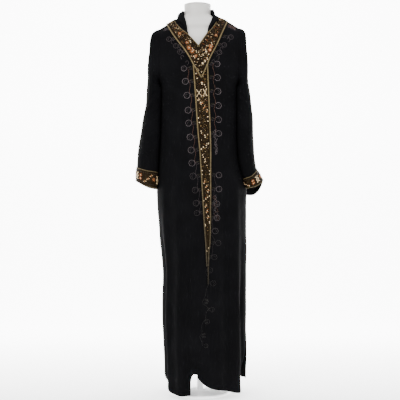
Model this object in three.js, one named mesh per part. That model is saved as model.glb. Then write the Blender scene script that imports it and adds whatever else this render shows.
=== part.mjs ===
// Long hooded kaftan, open at the front, on a headless dress form with a pole and a round base.
// Millimetres, +Z up, +X to the right seen from the front, -Y towards the viewer.
// "right" and "left" in a name are the wearer's: the right front and sleeve lie on the -X side.
import * as THREE from 'three';

// ---------------------------------------------------------------- driving sizes
const CLOTH = 2;              // thickness of the cloth walls
const TRIM = 1.6;             // thickness of the beaded bands
const SEAM = 0.3;             // gap between two pieces that are sewn together
const LIFT = 0.7;             // gap under a piece that lies on another
const CORD_R = 2.6;           // radius of the piping cord
const ROUNDNESS = 0.9;        // exponent of the oval sections, 1 is an ellipse
const ARMHOLE = { right: 160, left: 152, z: 1215 };   // plane of each armhole, underarm height
const NECK = { x: -10, y: 2, radius: 53.6, top: 1541 };
const NECK_EDGE = { right: 1477, left: 1489, back: 1493 };   // top of the cloth round the neck
const HEM_JOIN = 114;         // below this level the rows close up to the curved hem
const NECK_JOIN = 1433;       // above this level the rows close up to the neck edge
const BASE = { radius: 120, height: 8, chamfer: 3 };
const POLE_R = 12.5;
const FORM_BOTTOM = 640;

// Half widths and half depths of the cloth at each level, without its folds.
const BODY = [
  { z: 0, right: 139, left: 184, front: 158, back: 148 },
  { z: 85, right: 141, left: 185, front: 155, back: 146 },
  { z: 150, right: 144, left: 187, front: 152, back: 144 },
  { z: 245, right: 150, left: 185, front: 148, back: 140 },
  { z: 345, right: 152, left: 184, front: 145, back: 136 },
  { z: 485, right: 149, left: 185, front: 141, back: 132 },
  { z: 605, right: 160, left: 186, front: 138, back: 128 },
  { z: 715, right: 168, left: 185, front: 135, back: 123 },
  { z: 800, right: 172, left: 186, front: 132, back: 118 },
  { z: 845, right: 171, left: 178, front: 131, back: 116 },
  { z: 885, right: 169, left: 165, front: 130, back: 114 },
  { z: 940, right: 166, left: 154, front: 129, back: 112 },
  { z: 1010, right: 162, left: 151, front: 128, back: 110 },
  { z: 1100, right: 160, left: 150, front: 128, back: 107 },
  { z: 1215, right: 160, left: 152, front: 129, back: 106 },
  { z: 1250, right: 176, left: 168, front: 127, back: 106 },
  { z: 1300, right: 192, left: 183, front: 122, back: 105 },
  { z: 1350, right: 197, left: 187, front: 113, back: 102 },
  { z: 1400, right: 196, left: 186, front: 99, back: 95 },
  { z: 1421, right: 190, left: 182, front: 91, back: 90 },
  { z: 1433, right: 180, left: 174, front: 86, back: 86 },
  { z: 1446, right: 160.5, left: 159, front: 80, back: 82 },
  { z: 1451, right: 152, left: 152, front: 77, back: 80 },
  { z: 1461, right: 136, left: 136, front: 72, back: 76 },
  { z: 1469, right: 125, left: 124, front: 68, back: 73 },
  { z: 1477, right: 112, left: 108, front: 64, back: 70 },
  { z: 1489, right: 94, left: 80, front: 57, back: 66 },
  { z: 1500, right: 78, left: 66, front: 52, back: 62 },
];

// Long soft folds: angle round the body (0 is +X, 90 the back, 270 the front), lean of the angle
// at the top, angular width, height out of the cloth (a trough is negative) and the levels it spans.
const FOLDS = [
  { name: 'front_ridge', angle: 238, lean: 6, width: 6.5, rise: 7, low: -60, high: 1260 },
  { name: 'front_trough', angle: 251, lean: 2, width: 6, rise: -8, low: -60, high: 620 },
  { name: 'front_inner_trough', angle: 262, lean: -2, width: 4, rise: -5, low: 180, high: 560 },
  { name: 'right_side_ridge', angle: 214, lean: 4, width: 7, rise: 8, low: -60, high: 980 },
  { name: 'right_side_trough', angle: 203, lean: 3, width: 6, rise: -9, low: -60, high: 760 },
  { name: 'left_front_ridge', angle: 291, lean: -2, width: 7, rise: 6, low: -60, high: 900 },
  { name: 'left_front_trough', angle: 304, lean: -3, width: 6.5, rise: -9, low: -60, high: 1020 },
  { name: 'left_side_ridge', angle: 320, lean: -4, width: 7, rise: 8, low: -60, high: 1080 },
  { name: 'left_side_trough', angle: 333, lean: -2, width: 6, rise: -9, low: -60, high: 720 },
  { name: 'back_right_trough', angle: 158, lean: -4, width: 7, rise: -12, low: -60, high: 940 },
  { name: 'back_right_ridge', angle: 142, lean: -3, width: 7.5, rise: 12, low: -60, high: 1130 },
  { name: 'back_right_inner', angle: 124, lean: -2, width: 7, rise: -13, low: -60, high: 1050 },
  { name: 'back_middle_ridge', angle: 104, lean: 0, width: 8, rise: 11, low: -60, high: 1180 },
  { name: 'back_middle_trough', angle: 86, lean: 0, width: 7, rise: -12, low: -60, high: 1080 },
  { name: 'back_left_ridge', angle: 68, lean: 3, width: 7.5, rise: 12, low: -60, high: 1150 },
  { name: 'back_left_trough', angle: 50, lean: 4, width: 7, rise: -13, low: -60, high: 1010 },
  { name: 'back_left_outer', angle: 33, lean: 3, width: 7, rise: 10, low: -60, high: 930 },
  { name: 'back_side_trough', angle: 18, lean: 2, width: 5, rise: -8, low: -60, high: 700 },
];

// Levels of the rows of cloth between the hem and the base of the neck.
const LEVELS = [0, 38, 76, 114, 150, 210, 275, 345, 415, 490, 569, 640, 715, 790, 865, 940,
  1010, 1080, 1150, 1215, 1250, 1288, 1326, 1364, 1390, 1412, 1433];
const NECK_ROWS = [0.33, 0.5, 0.67, 0.84, 1];

// Line where the two fronts meet, and above the point of the V the two neck edges.
const OPENING = [
  { z: 0, x: -26 }, { z: 114, x: -16 }, { z: 208, x: 10 }, { z: 335, x: 22 }, { z: 442, x: 28 },
  { z: 569, x: 29 }, { z: 638, x: 29 }, { z: 761, x: 26 }, { z: 938, x: 20 }, { z: 1034, x: 15 },
  { z: 1288, x: 1.5 }, { z: 1364, x: -6 },
];
// Below the lowest point where they meet, the two free edges part into a notch.
const NOTCH_RIGHT = [{ z: 0, x: -38 }, { z: 60, x: -38 }, { z: 85, x: -34 }, { z: 100, x: -25 },
  { z: 114, x: -16 }];
const NOTCH_LEFT = [{ z: 0, x: -8 }, { z: 88, x: -9 }, { z: 114, x: -16 }];
const NECK_RIGHT = [{ z: 1364, x: -6 }, { z: 1412, x: -49 }, { z: 1433, x: -74 }, { z: 1455, x: -90 },
  { z: 1477, x: -101 }];
const NECK_LEFT = [{ z: 1364, x: -6 }, { z: 1412, x: 26 }, { z: 1433, x: 45 }, { z: 1461, x: 61 },
  { z: 1489, x: 72 }];

// Lower edges: height of the hem by its place across the body.
const HEM_RIGHT = [{ x: -150, z: 86 }, { x: -139, z: 76 }, { x: -124, z: 40 }, { x: -106, z: 18 },
  { x: -70, z: 13 }, { x: -36, z: 18 }, { x: 0, z: 40 }];
const HEM_LEFT = [{ x: -14, z: 92 }, { x: 0, z: 77 }, { x: 15, z: 62 }, { x: 42, z: 46 }, { x: 73, z: 39 },
  { x: 110, z: 30 }, { x: 148, z: 18 }, { x: 190, z: 13 }];
const HEM_BACK = [{ x: -150, z: 98 }, { x: -132, z: 78 }, { x: -100, z: 48 }, { x: 0, z: 34 },
  { x: 110, z: 36 }, { x: 190, z: 52 }];

// How far the free edges beside the side slits stand from the side, by level.
const SLIT = [
  { z: 0, right: 5, left: 76, back: 5 }, { z: 62, right: 3, left: 85, back: 3 },
  { z: 150, right: 0.15, left: 60, back: 0.15 }, { z: 250, right: 0.15, left: 24, back: 0.15 },
  { z: 345, right: 0.15, left: 0.15, back: 0.15 },
];

// Beaded bands: edges of the centre band, and outer edges of the two arms of the V.
const CENTRE_BAND = [
  { z: 510, right: 28.9, left: 29.1 }, { z: 535, right: 28, left: 30 }, { z: 569, right: 26.5, left: 31 },
  { z: 588, right: 26, left: 34 }, { z: 640, right: 21.5, left: 36.5 }, { z: 761, right: 14.3, left: 37.5 },
  { z: 938, right: 3.5, left: 37.5 }, { z: 1034, right: -5, left: 35.5 }, { z: 1160, right: -13.5, left: 30.5 },
  { z: 1288, right: -22.5, left: 25.5 },
];
const ARM_RIGHT = [{ z: 1288, x: -22.5 }, { z: 1308, x: -33 }, { z: 1342, x: -53 }, { z: 1391, x: -89 },
  { z: 1433, x: -115 }, { z: 1455, x: -125 }, { z: 1477, x: -130 }];
const ARM_LEFT = [{ z: 1288, x: 25.5 }, { z: 1304, x: 31 }, { z: 1368, x: 62.5 }, { z: 1412, x: 81 },
  { z: 1461, x: 101 }, { z: 1489, x: 109 }];
const BACK_BAND = { side: 11, middle: 46 };   // height of the band at the shoulders and behind the neck
const V_JOIN = 1288;          // the arms of the V meet the centre band here
const BAND_LOW = 535;         // lower end of the centre band
const PIPING_MEET = 510;      // here the two centre pipings come together
const TAIL = { low: 442, middle: 472, high: 502 };        // the single piping below them
const ARM_PIPING_TOP = { right: 1463, left: 1470 };

// Sleeves. The upper rings turn about the underarm; the lower ones hang to the cuff.
const SHOULDER_TURN = [
  { turn: 0, right: 231, left: 236, root: 0 },
  { turn: 4, right: 219, left: 226, root: 2.4 },
  { turn: 8, right: 207, left: 205, root: 4.8 },
  { turn: 12, right: 178, left: 152, root: 7.2 },
  { turn: 16, right: 143, left: 126, root: 9.6 },
  { turn: 24, right: 110, left: 92, root: 12.5 },
  { turn: 38, right: 78, left: 63, root: 16 },
  { turn: 60, right: 57, left: 46.5, root: 21 },
  { turn: 90, right: 51.5, left: 43.5, root: 27 },
];
const UPPER_DEPTH = 74;
const SLEEVE_RIGHT = [
  { outer: 215, outerZ: 1160, inner: 161.6, innerZ: 1155, depth: 76, front: 0, back: 0 },
  { outer: 227, outerZ: 1090, inner: 162.2, innerZ: 1080, depth: 76, front: 0, back: 0 },
  { outer: 239, outerZ: 1012, inner: 164.2, innerZ: 1000, depth: 77, front: 0, back: 0 },
  { outer: 249, outerZ: 945, inner: 168.6, innerZ: 925, depth: 78, front: 0, back: -2 },
  { outer: 251.3, outerZ: 906, inner: 170.6, innerZ: 885, depth: 79.6, front: -3.4, back: -5.4 },
  { outer: 252, outerZ: 893, inner: 174.6, innerZ: 871, depth: 80, front: -4, back: -6 },
  { outer: 253, outerZ: 868, inner: 176, innerZ: 840, depth: 81, front: -5, back: -8 },
  { outer: 254, outerZ: 843, inner: 176.8, innerZ: 809, depth: 82, front: -6, back: -10 },
];
const SLEEVE_LEFT = [
  { outer: 204, outerZ: 1160, inner: 152.8, innerZ: 1155, depth: 74, front: 0, back: 0 },
  { outer: 211, outerZ: 1090, inner: 151.8, innerZ: 1080, depth: 74, front: 0, back: 0 },
  { outer: 213, outerZ: 1012, inner: 153.2, innerZ: 1000, depth: 74, front: 0, back: 0 },
  { outer: 217, outerZ: 945, inner: 157.4, innerZ: 930, depth: 73, front: 0, back: -4 },
  { outer: 223.5, outerZ: 900, inner: 174.4, innerZ: 862, depth: 70.6, front: -8, back: -13 },
  { outer: 226, outerZ: 887, inner: 182.2, innerZ: 848, depth: 70, front: -10, back: -16 },
  { outer: 239, outerZ: 866, inner: 186.6, innerZ: 830, depth: 68, front: -12, back: -30 },
  { outer: 251, outerZ: 845, inner: 189.6, innerZ: 815, depth: 66, front: -12, back: -44 },
];
const SLEEVE_SIDES = 22;
const UNDERARM_GAP = 0.9;     // between the body's side and the sleeve below the armhole
const CLING = 6;              // how far the sleeve's inner wall follows the round of the body
const SLEEVE_RIPPLE = { waves: 4, height: 2.5 };
// The last three rings of a sleeve carry the cuff band, with a thin cord above it and one below.
const CUFF = {
  rings: 3, lift: 1.3, thick: 1.2, cord: 1.6, cordLift: 0.5, cordAbove: 2.2, stop: 4.3, cordStop: 1.9,
};

// Hood: a stand that wraps the neck, and the bag that hangs down the back.
const HOOD_STAND = [
  { part: 0.00, x: -51, y: -85, z: 1437 },
  { part: 0.12, x: -57, y: -66, z: 1468 },
  { part: 0.24, x: -68, y: -30, z: 1504 },
  { part: 0.36, x: -71, y: 8, z: 1521 },
  { part: 0.50, x: -50, y: 50, z: 1526 },
  { part: 0.62, x: -10, y: 61, z: 1530 },
  { part: 0.74, x: 30, y: 48, z: 1533 },
  { part: 0.84, x: 48, y: 14, z: 1528 },
  { part: 0.90, x: 50, y: -36, z: 1498 },
  { part: 1.00, x: 33, y: -85, z: 1442 },
];
// Rows of the stand on the right shoulder: there it lies flat first and then stands up.
const HOOD_STEP = [
  { row: 0, up: 0, inwards: 0 },
  { row: 1, up: 0.14, inwards: 0.52 },
  { row: 2, up: 0.5, inwards: 0.6 },
  { row: 3, up: 0.84, inwards: 0.72 },
  { row: 4, up: 1, inwards: 1 },
];
const HOOD_BAG = [
  { z: 1118, half: 20, thick: 13 },
  { z: 1136, half: 52, thick: 20 },
  { z: 1180, half: 82, thick: 28 },
  { z: 1240, half: 102, thick: 34 },
  { z: 1310, half: 114, thick: 37 },
  { z: 1380, half: 112, thick: 36 },
  { z: 1430, half: 98, thick: 32 },
  { z: 1465, half: 82, thick: 26 },
];
const HOOD_CLEAR = 4.4;         // the bag hangs this far behind the back of the garment
const HOOD_SIDES = 20;
const HOOD_MOUTH = { low: 1380, high: 1465, sideLift: 18, outerDrop: 22, innerLift: 6 };

// Inset of the dress form behind the cloth, by level.
const FORM = [
  { z: 640, inset: 52 }, { z: 652, inset: 36 }, { z: 700, inset: 27 }, { z: 800, inset: 22 },
  { z: 900, inset: 30 }, { z: 1000, inset: 38 }, { z: 1100, inset: 31 }, { z: 1215, inset: 16 },
  { z: 1300, inset: 9 },
  { z: 1364, inset: 4 }, { z: 1400, inset: 3 }, { z: 1442, inset: 6 },
  { z: 1456, inset: 1.3 }, { z: 1480, inset: 1.1 },
];
const FORM_SIDES = 32;
const FORM_LEVELS = [640, 652, 700, 770, 850, 930, 1010, 1090, 1170, 1240, 1300, 1364, 1400, 1421, 1433, 1440,
  1447, 1455, 1462, 1470, 1478];
// Rings above the shoulders of the form, where its neck rises.
const FORM_NECK = { blend: 1488, share: 0.62, collar: 1506, collarIn: 1, middle: 1530, middleIn: 0.5 };

// ---------------------------------------------------------------- looking up a table
// A smooth curve through the rows of a table that never swings past them.
function curve(table, key, column) {
  const at = table.map((row) => row[key]);
  const value = table.map((row) => row[column]);
  const slope = at.slice(1).map((next, i) => (value[i + 1] - value[i]) / (next - at[i]));
  const tangent = at.map((_, i) => {
    if (i === 0) return slope[0];
    if (i === at.length - 1) return slope[i - 1];
    if (slope[i - 1] * slope[i] <= 0) return 0;
    return 2 * slope[i - 1] * slope[i] / (slope[i - 1] + slope[i]);
  });
  return (x) => {
    if (x <= at[0]) return value[0];
    if (x >= at[at.length - 1]) return value[at.length - 1];
    const i = at.findIndex((_, k) => x < at[k + 1]);
    const span = at[i + 1] - at[i];
    const t = (x - at[i]) / span;
    const h = (1 - t) * (1 - t);
    return (1 + 2 * t) * h * value[i] + t * h * span * tangent[i]
      + t * t * (3 - 2 * t) * value[i + 1] + t * t * (t - 1) * span * tangent[i + 1];
  };
}

const smooth = (t) => {
  const s = Math.min(1, Math.max(0, t));
  return s * s * (3 - 2 * s);
};
const mix = (a, b, t) => a + (b - a) * t;
const range = (n) => Array.from({ length: n }, (_, i) => i);
const radians = Math.PI / 180;

const halfWidth = { right: curve(BODY, 'z', 'right'), left: curve(BODY, 'z', 'left') };
const halfDepth = { front: curve(BODY, 'z', 'front'), back: curve(BODY, 'z', 'back') };
const openingX = curve(OPENING, 'z', 'x');
const notchX = { right: curve(NOTCH_RIGHT, 'z', 'x'), left: curve(NOTCH_LEFT, 'z', 'x') };
const neckX = { right: curve(NECK_RIGHT, 'z', 'x'), left: curve(NECK_LEFT, 'z', 'x') };
const armX = { right: curve(ARM_RIGHT, 'z', 'x'), left: curve(ARM_LEFT, 'z', 'x') };
const slitGap = {
  right: curve(SLIT, 'z', 'right'), left: curve(SLIT, 'z', 'left'), back: curve(SLIT, 'z', 'back'),
};
const centreX = { right: curve(CENTRE_BAND, 'z', 'right'), left: curve(CENTRE_BAND, 'z', 'left') };
const hemZ = {
  right: curve(HEM_RIGHT, 'x', 'z'), left: curve(HEM_LEFT, 'x', 'z'), back: curve(HEM_BACK, 'x', 'z'),
};

// ---------------------------------------------------------------- the surface of the garment
function foldHeight(angle, z) {
  return FOLDS.reduce((sum, fold) => {
    const down = smooth((fold.high - z) / 420) * smooth((z - fold.low) / 60);
    const centre = fold.angle + fold.lean * (z / fold.high);
    const away = (angle - centre) / fold.width;
    return sum + fold.rise * down * Math.exp(-away * away);
  }, 0);
}

// A point of the cloth's outer face at a level and an angle, before it is moved in or out.
function skin(z, angle) {
  const c = Math.cos(angle * radians);
  const s = Math.sin(angle * radians);
  const wide = c < 0 ? halfWidth.right(z) : halfWidth.left(z);
  const deep = s < 0 ? halfDepth.front(z) : halfDepth.back(z);
  const x = wide * Math.sign(c) * Math.abs(c) ** ROUNDNESS;
  const y = deep * Math.sign(s) * Math.abs(s) ** ROUNDNESS;
  const nx = Math.sign(c) * Math.abs(c) ** (2 - ROUNDNESS) / wide;
  const ny = Math.sign(s) * Math.abs(s) ** (2 - ROUNDNESS) / deep;
  const size = Math.hypot(nx, ny);
  const fold = foldHeight(angle, z);
  return new THREE.Vector3(x + fold * nx / size, y + fold * ny / size, z);
}

// The same point moved along the surface's normal.
function cloth(z, angle, out = 0) {
  const point = skin(z, angle);
  if (out === 0) return point;
  const around = skin(z, angle + 0.4).sub(skin(z, angle - 0.4));
  const up = skin(z + 1, angle).sub(skin(z - 1, angle));
  return point.addScaledVector(around.cross(up).normalize(), out);
}

// Angle of the surface at a distance across the front or the back.
function angleAt(z, x, face) {
  const wide = x < 0 ? halfWidth.right(z) : halfWidth.left(z);
  const share = Math.min(1, Math.abs(x) / wide);
  const half = Math.acos(Math.sign(x) * share ** (1 / ROUNDNESS)) / radians;
  return face === 'front' ? 360 - half : half;
}

// Angle at which a wall ends beside its side seam, shoulder seam or armhole.
function sideAngle(z, side, face) {
  const sign = side === 'right' ? -1 : 1;
  const inside = ARMHOLE[side] - SEAM / 2;
  if (z > ARMHOLE.z && halfWidth[side](z) > ARMHOLE[side]) return angleAt(z, sign * inside, face);
  const deep = halfDepth[face](z);
  const gap = slitGap[face === 'front' ? side : 'back'](z);
  const away = Math.asin((gap / deep) ** (1 / ROUNDNESS)) / radians;
  if (face === 'front') return side === 'right' ? 180 + away : 360 - away;
  return side === 'right' ? 180 - away : away;
}

// Level of a row beside a given neck edge.
function neckLevel(part, edge) {
  return mix(NECK_JOIN, edge, part);
}

// Angle at which a front ends beside the opening or the neck.
function frontEdge(z, side) {
  const sign = side === 'right' ? -1 : 1;
  const above = z <= NECK_RIGHT[0].z ? openingX(z) : neckX[side](z);
  const x = z < HEM_JOIN ? notchX[side](z) : above;
  return angleAt(z, x + sign * SEAM / 2, 'front');
}

// ---------------------------------------------------------------- building closed bodies
function body(name, corners, triangles, colour, roughness) {
  const position = new Float32Array(corners.flatMap((p) => [p.x, p.y, p.z]));
  const faces = triangles.slice();
  const volume = faces.reduce((sum, [a, b, c]) => sum
    + corners[a].dot(new THREE.Vector3().crossVectors(corners[b], corners[c])), 0);
  const turned = volume < 0 ? faces.map(([a, b, c]) => [a, c, b]) : faces;
  const geometry = new THREE.BufferGeometry();
  geometry.setAttribute('position', new THREE.BufferAttribute(position, 3));
  geometry.setIndex(turned.flat());
  geometry.computeVertexNormals();
  const material = new THREE.MeshStandardMaterial({ color: colour, roughness, metalness: 0 });
  const mesh = new THREE.Mesh(geometry, material);
  mesh.name = name;
  return mesh;
}

// A sheet given by its outer and inner rows of points, closed round its four edges.
function sheet(name, outer, inner, colour, roughness) {
  const rows = outer.length;
  const columns = outer[0].length;
  const at = (face, i, j) => (face * rows + i) * columns + j;
  const triangles = [];
  const quad = (a, b, c, d) => triangles.push([a, b, c], [a, c, d]);
  for (let i = 0; i < rows - 1; i += 1) {
    for (let j = 0; j < columns - 1; j += 1) {
      quad(at(0, i, j), at(0, i, j + 1), at(0, i + 1, j + 1), at(0, i + 1, j));
      quad(at(1, i, j), at(1, i + 1, j), at(1, i + 1, j + 1), at(1, i, j + 1));
    }
    quad(at(0, i, 0), at(0, i + 1, 0), at(1, i + 1, 0), at(1, i, 0));
    quad(at(0, i, columns - 1), at(1, i, columns - 1), at(1, i + 1, columns - 1), at(0, i + 1, columns - 1));
  }
  for (let j = 0; j < columns - 1; j += 1) {
    quad(at(0, 0, j), at(1, 0, j), at(1, 0, j + 1), at(0, 0, j + 1));
    quad(at(0, rows - 1, j), at(0, rows - 1, j + 1), at(1, rows - 1, j + 1), at(1, rows - 1, j));
  }
  return body(name, [...outer.flat(), ...inner.flat()], triangles, colour, roughness);
}

// Closed rings joined one after another; the ends are capped, or joined when the chain is a loop.
function loft(name, rings, loop, colour, roughness) {
  const sides = rings[0].length;
  const corners = rings.flat();
  const triangles = [];
  const steps = loop ? rings.length : rings.length - 1;
  for (let i = 0; i < steps; i += 1) {
    const a = i * sides;
    const b = ((i + 1) % rings.length) * sides;
    for (let j = 0; j < sides; j += 1) {
      const k = (j + 1) % sides;
      triangles.push([a + j, a + k, b + k], [a + j, b + k, b + j]);
    }
  }
  if (!loop) {
    [0, rings.length - 1].forEach((end) => {
      const middle = rings[end].reduce((sum, p) => sum.add(p), new THREE.Vector3()).divideScalar(sides);
      corners.push(middle);
      for (let j = 0; j < sides; j += 1) {
        const pair = [end * sides + j, end * sides + (j + 1) % sides];
        triangles.push(end === 0 ? [corners.length - 1, pair[1], pair[0]] : [corners.length - 1, ...pair]);
      }
    });
  }
  return body(name, corners, triangles, colour, roughness);
}

// Rings moved along the normals of the tube that they make.
function swell(rings, out) {
  const last = rings.length - 1;
  return rings.map((ring, i) => ring.map((point, j) => {
    const n = ring.length;
    const around = ring[(j + 1) % n].clone().sub(ring[(j + n - 1) % n]);
    const along = rings[Math.min(last, i + 1)][j].clone().sub(rings[Math.max(0, i - 1)][j]);
    const normal = around.cross(along).normalize();
    return point.clone().addScaledVector(normal, out);
  }));
}

// A cord of round section along a route, with its sideways directions given.
function cord(name, route, radius, colour, roughness) {
  const sides = 6;
  const last = route.length - 1;
  const rings = route.map((stop, i) => {
    const along = route[Math.min(last, i + 1)].point.clone().sub(route[Math.max(0, i - 1)].point).normalize();
    const across = new THREE.Vector3().crossVectors(along, stop.up).normalize();
    const up = new THREE.Vector3().crossVectors(across, along).normalize();
    return range(sides).map((k) => {
      const turn = (k + 0.5) * 2 * Math.PI / sides;
      return stop.point.clone()
        .addScaledVector(across, radius * Math.cos(turn))
        .addScaledVector(up, radius * Math.sin(turn));
    });
  });
  return loft(name, rings, false, colour, roughness);
}

// ---------------------------------------------------------------- colours
const BLACK = 0x141416;
const GOLD = 0x9b8350;
const BEADS = 0x5d4527;
const WHITE = 0xe4e3e0;

// ---------------------------------------------------------------- fronts and back
function rowLevels(edge) {
  return [...LEVELS, ...NECK_ROWS.map((part) => neckLevel(part, edge))];
}

// Level of a row at a place across the body: the lowest rows close up to the hem.
function hemLevel(level, hem) {
  return level >= HEM_JOIN ? level : mix(hem, HEM_JOIN, level / HEM_JOIN);
}

function front(side) {
  const columns = 11;
  const place = (z, part) => mix(frontEdge(z, side), sideAngle(z, side, 'front'), part);
  const grid = (out) => rowLevels(NECK_EDGE[side]).map((level) => range(columns + 1).map((j) => {
    const z = hemLevel(level, hemZ[side](skin(level, place(level, j / columns)).x));
    return cloth(z, place(z, j / columns), out);
  }));
  return sheet(`front_${side}`, grid(0), grid(-CLOTH), BLACK, 0.85);
}

function backEdge(angle) {
  const across = angle / 180;
  const side = mix(NECK_EDGE.left, NECK_EDGE.right, smooth(across));
  return mix(side, NECK_EDGE.back, Math.sin(across * Math.PI) ** 2);
}

function back() {
  const columns = 24;
  const grid = (out) => [...LEVELS, ...NECK_ROWS].map((level, i) => range(columns + 1).map((j) => {
    const across = j / columns;
    const aboveNeck = i >= LEVELS.length;
    const middle = mix(0, 180, across);
    const z = aboveNeck ? neckLevel(level, backEdge(middle)) : level;
    const angle = mix(sideAngle(z, 'left', 'back'), sideAngle(z, 'right', 'back'), across);
    return cloth(aboveNeck ? z : hemLevel(z, hemZ.back(skin(z, angle).x)), angle, out);
  }));
  return sheet('back', grid(0), grid(-CLOTH), BLACK, 0.85);
}

// ---------------------------------------------------------------- sleeves
// The inner wall bends towards the body on both sides of the middle.
const cling = (angle) => (Math.cos(angle) < 0 ? CLING * Math.sin(2 * angle) ** 2 : 0);

function turnRing(row, side) {
  const sign = side === 'right' ? -1 : 1;
  const reach = row[side];
  const turn = row.turn * radians;
  const settled = smooth(row.turn / 60);
  return range(SLEEVE_SIDES).map((k) => {
    const angle = 2 * Math.PI * k / SLEEVE_SIDES;
    const s = Math.sin(angle);
    const across = (1 + Math.cos(angle)) / 2;
    const start = row.root === 0 ? 0 : UNDERARM_GAP;
    const face = s > 0 ? 'front' : 'back';
    const level = ARMHOLE.z + reach * across;
    const wide = Math.max(halfWidth[side](level), ARMHOLE[side]);
    const hole = halfDepth[face](level) * (1 - (ARMHOLE[side] / wide) ** (2 / ROUNDNESS)) ** (ROUNDNESS / 2);
    const even = UPPER_DEPTH * Math.abs(s) ** 0.8;
    const deep = Math.abs(s) < 1e-6 ? 0 : mix(hole, even, settled);
    return new THREE.Vector3(
      sign * (ARMHOLE[side] + SEAM / 2 + mix(start, reach * Math.sin(turn), across) - settled * cling(angle)),
      (s > 0 ? -1 : 1) * deep,
      ARMHOLE.z + mix(-row.root, reach * Math.cos(turn), across),
    );
  });
}

function hangRing(row, side, part) {
  const sign = side === 'right' ? -1 : 1;
  return range(SLEEVE_SIDES).map((k) => {
    const angle = 2 * Math.PI * k / SLEEVE_SIDES;
    const s = Math.sin(angle);
    const across = (1 + Math.cos(angle)) / 2;
    const wave = 1 + SLEEVE_RIPPLE.height * part * Math.sin(SLEEVE_RIPPLE.waves * angle) / row.depth;
    return new THREE.Vector3(
      sign * (mix(row.inner, row.outer, across) - cling(angle)),
      -Math.sign(s) * row.depth * wave * Math.abs(s) ** 0.8,
      mix(row.innerZ, row.outerZ, across) + (s > 0 ? row.front : row.back) * Math.abs(s),
    );
  });
}

function sleeveRings(side) {
  const hanging = side === 'right' ? SLEEVE_RIGHT : SLEEVE_LEFT;
  return [
    ...SHOULDER_TURN.map((row) => turnRing(row, side)),
    ...hanging.map((row, i) => hangRing(row, side, i / hanging.length)),
  ];
}

// The normals of a mirrored tube point the other way, so the side gives their sign.
const outwards = { right: -1, left: 1 };

function sleeve(side) {
  const outer = sleeveRings(side);
  const inner = swell(outer, -CLOTH * outwards[side]);
  const plane = outer[0][0].x;
  const beyond = outwards[side] * plane;
  inner.forEach((ring) => ring.forEach((p) => p.setX(outwards[side] * Math.max(outwards[side] * p.x, beyond))));
  inner[0].forEach((p) => p.setX(plane));
  return loft(`sleeve_${side}`, [...outer, ...inner.reverse()], true, BLACK, 0.85);
}

// A ring moved back along the tube by a distance.
function ringBefore(rings, i, distance) {
  return rings[i].map((point, k) => point.clone()
    .addScaledVector(rings[i - 1][k].clone().sub(point).normalize(), distance));
}

function cuff(side) {
  const rings = sleeveRings(side);
  const last = rings.length - 1;
  const lifted = (height) => {
    const raised = swell(rings, height * outwards[side]);
    return [...raised.slice(-CUFF.rings, -1), ringBefore(raised, last, CUFF.stop)];
  };
  return loft(`cuff_band_${side}`, [...lifted(CUFF.lift + CUFF.thick), ...lifted(CUFF.lift).reverse()], true,
    BEADS, 0.5);
}

function cuffPiping(side, edge) {
  const rings = sleeveRings(side);
  const raised = swell(rings, (CUFF.cordLift + CUFF.cord) * outwards[side]);
  const last = rings.length - 1;
  const middle = edge === 'top' ? ringBefore(raised, last - CUFF.rings + 1, CUFF.cordAbove)
    : ringBefore(raised, last, CUFF.cordStop);
  const centre = middle.reduce((sum, p) => sum.add(p), new THREE.Vector3()).divideScalar(middle.length);
  const down = rings[last][0].clone().sub(rings[last - 1][0]).normalize();
  const tube = range(6).map((k) => {
    const turn = k * Math.PI / 3;
    return middle.map((p) => {
      const out = p.clone().sub(centre).normalize();
      return p.clone().addScaledVector(out, CUFF.cord * Math.cos(turn))
        .addScaledVector(down, CUFF.cord * Math.sin(turn));
    });
  });
  return loft(`cuff_piping_${edge}_${side}`, tube, true, GOLD, 0.45);
}

// ---------------------------------------------------------------- bands and piping
// A strip that lies on the front between two edges.
function strip(name, levels, from, to, columns, colour) {
  const grid = (out) => levels.map((z) => range(columns + 1).map((j) => {
    const angle = mix(angleAt(z, from(z), 'front'), angleAt(z, to(z), 'front'), j / columns);
    return cloth(z, angle, out);
  }));
  return sheet(name, grid(LIFT + TRIM), grid(LIFT), colour, 0.5);
}

function insideShoulder(x, z, side) {
  const limit = halfWidth[side](z) - 0.4;
  return Math.sign(x) * Math.min(Math.abs(x), limit);
}

// Rows of the arms of the V, twice as close over the shoulder as those of the cloth.
function armLevels(side, top) {
  const rows = rowLevels(NECK_EDGE[side]).filter((z) => z >= V_JOIN && z <= top);
  return rows.flatMap((z, i) => (z > 1400 && i > 0 ? [(z + rows[i - 1]) / 2, z] : [z]));
}

function neckArm(side) {
  const sign = side === 'right' ? -1 : 1;
  const levels = armLevels(side, NECK_EDGE[side]);
  const inner = (z) => (z <= NECK_RIGHT[0].z ? openingX(z) : neckX[side](z)) + sign * SEAM / 2;
  const outer = (z) => insideShoulder(armX[side](z), z, side);
  return strip(`neck_band_${side}`, levels, inner, outer, 9, BEADS);
}

function centreBand() {
  const levels = [BAND_LOW, ...LEVELS.filter((z) => z > BAND_LOW && z < V_JOIN), V_JOIN - SEAM];
  return strip('centre_band', levels, centreX.right, centreX.left, 5, BEADS);
}

function backBand() {
  const columns = 20;
  const rows = [0, 0.25, 0.5, 0.75, 1];
  const grid = (out) => rows.map((part) => range(columns + 1).map((j) => {
    const angle = mix(1.2, 178.8, j / columns);
    const high = backEdge(angle);
    const height = mix(BACK_BAND.side, BACK_BAND.middle, Math.sin(angle * radians) ** 2);
    return cloth(high - height * (1 - part), angle, out);
  }));
  return sheet('neck_band_back', grid(LIFT + 0.6 + TRIM), grid(LIFT + 0.6), BEADS, 0.5);
}

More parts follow.
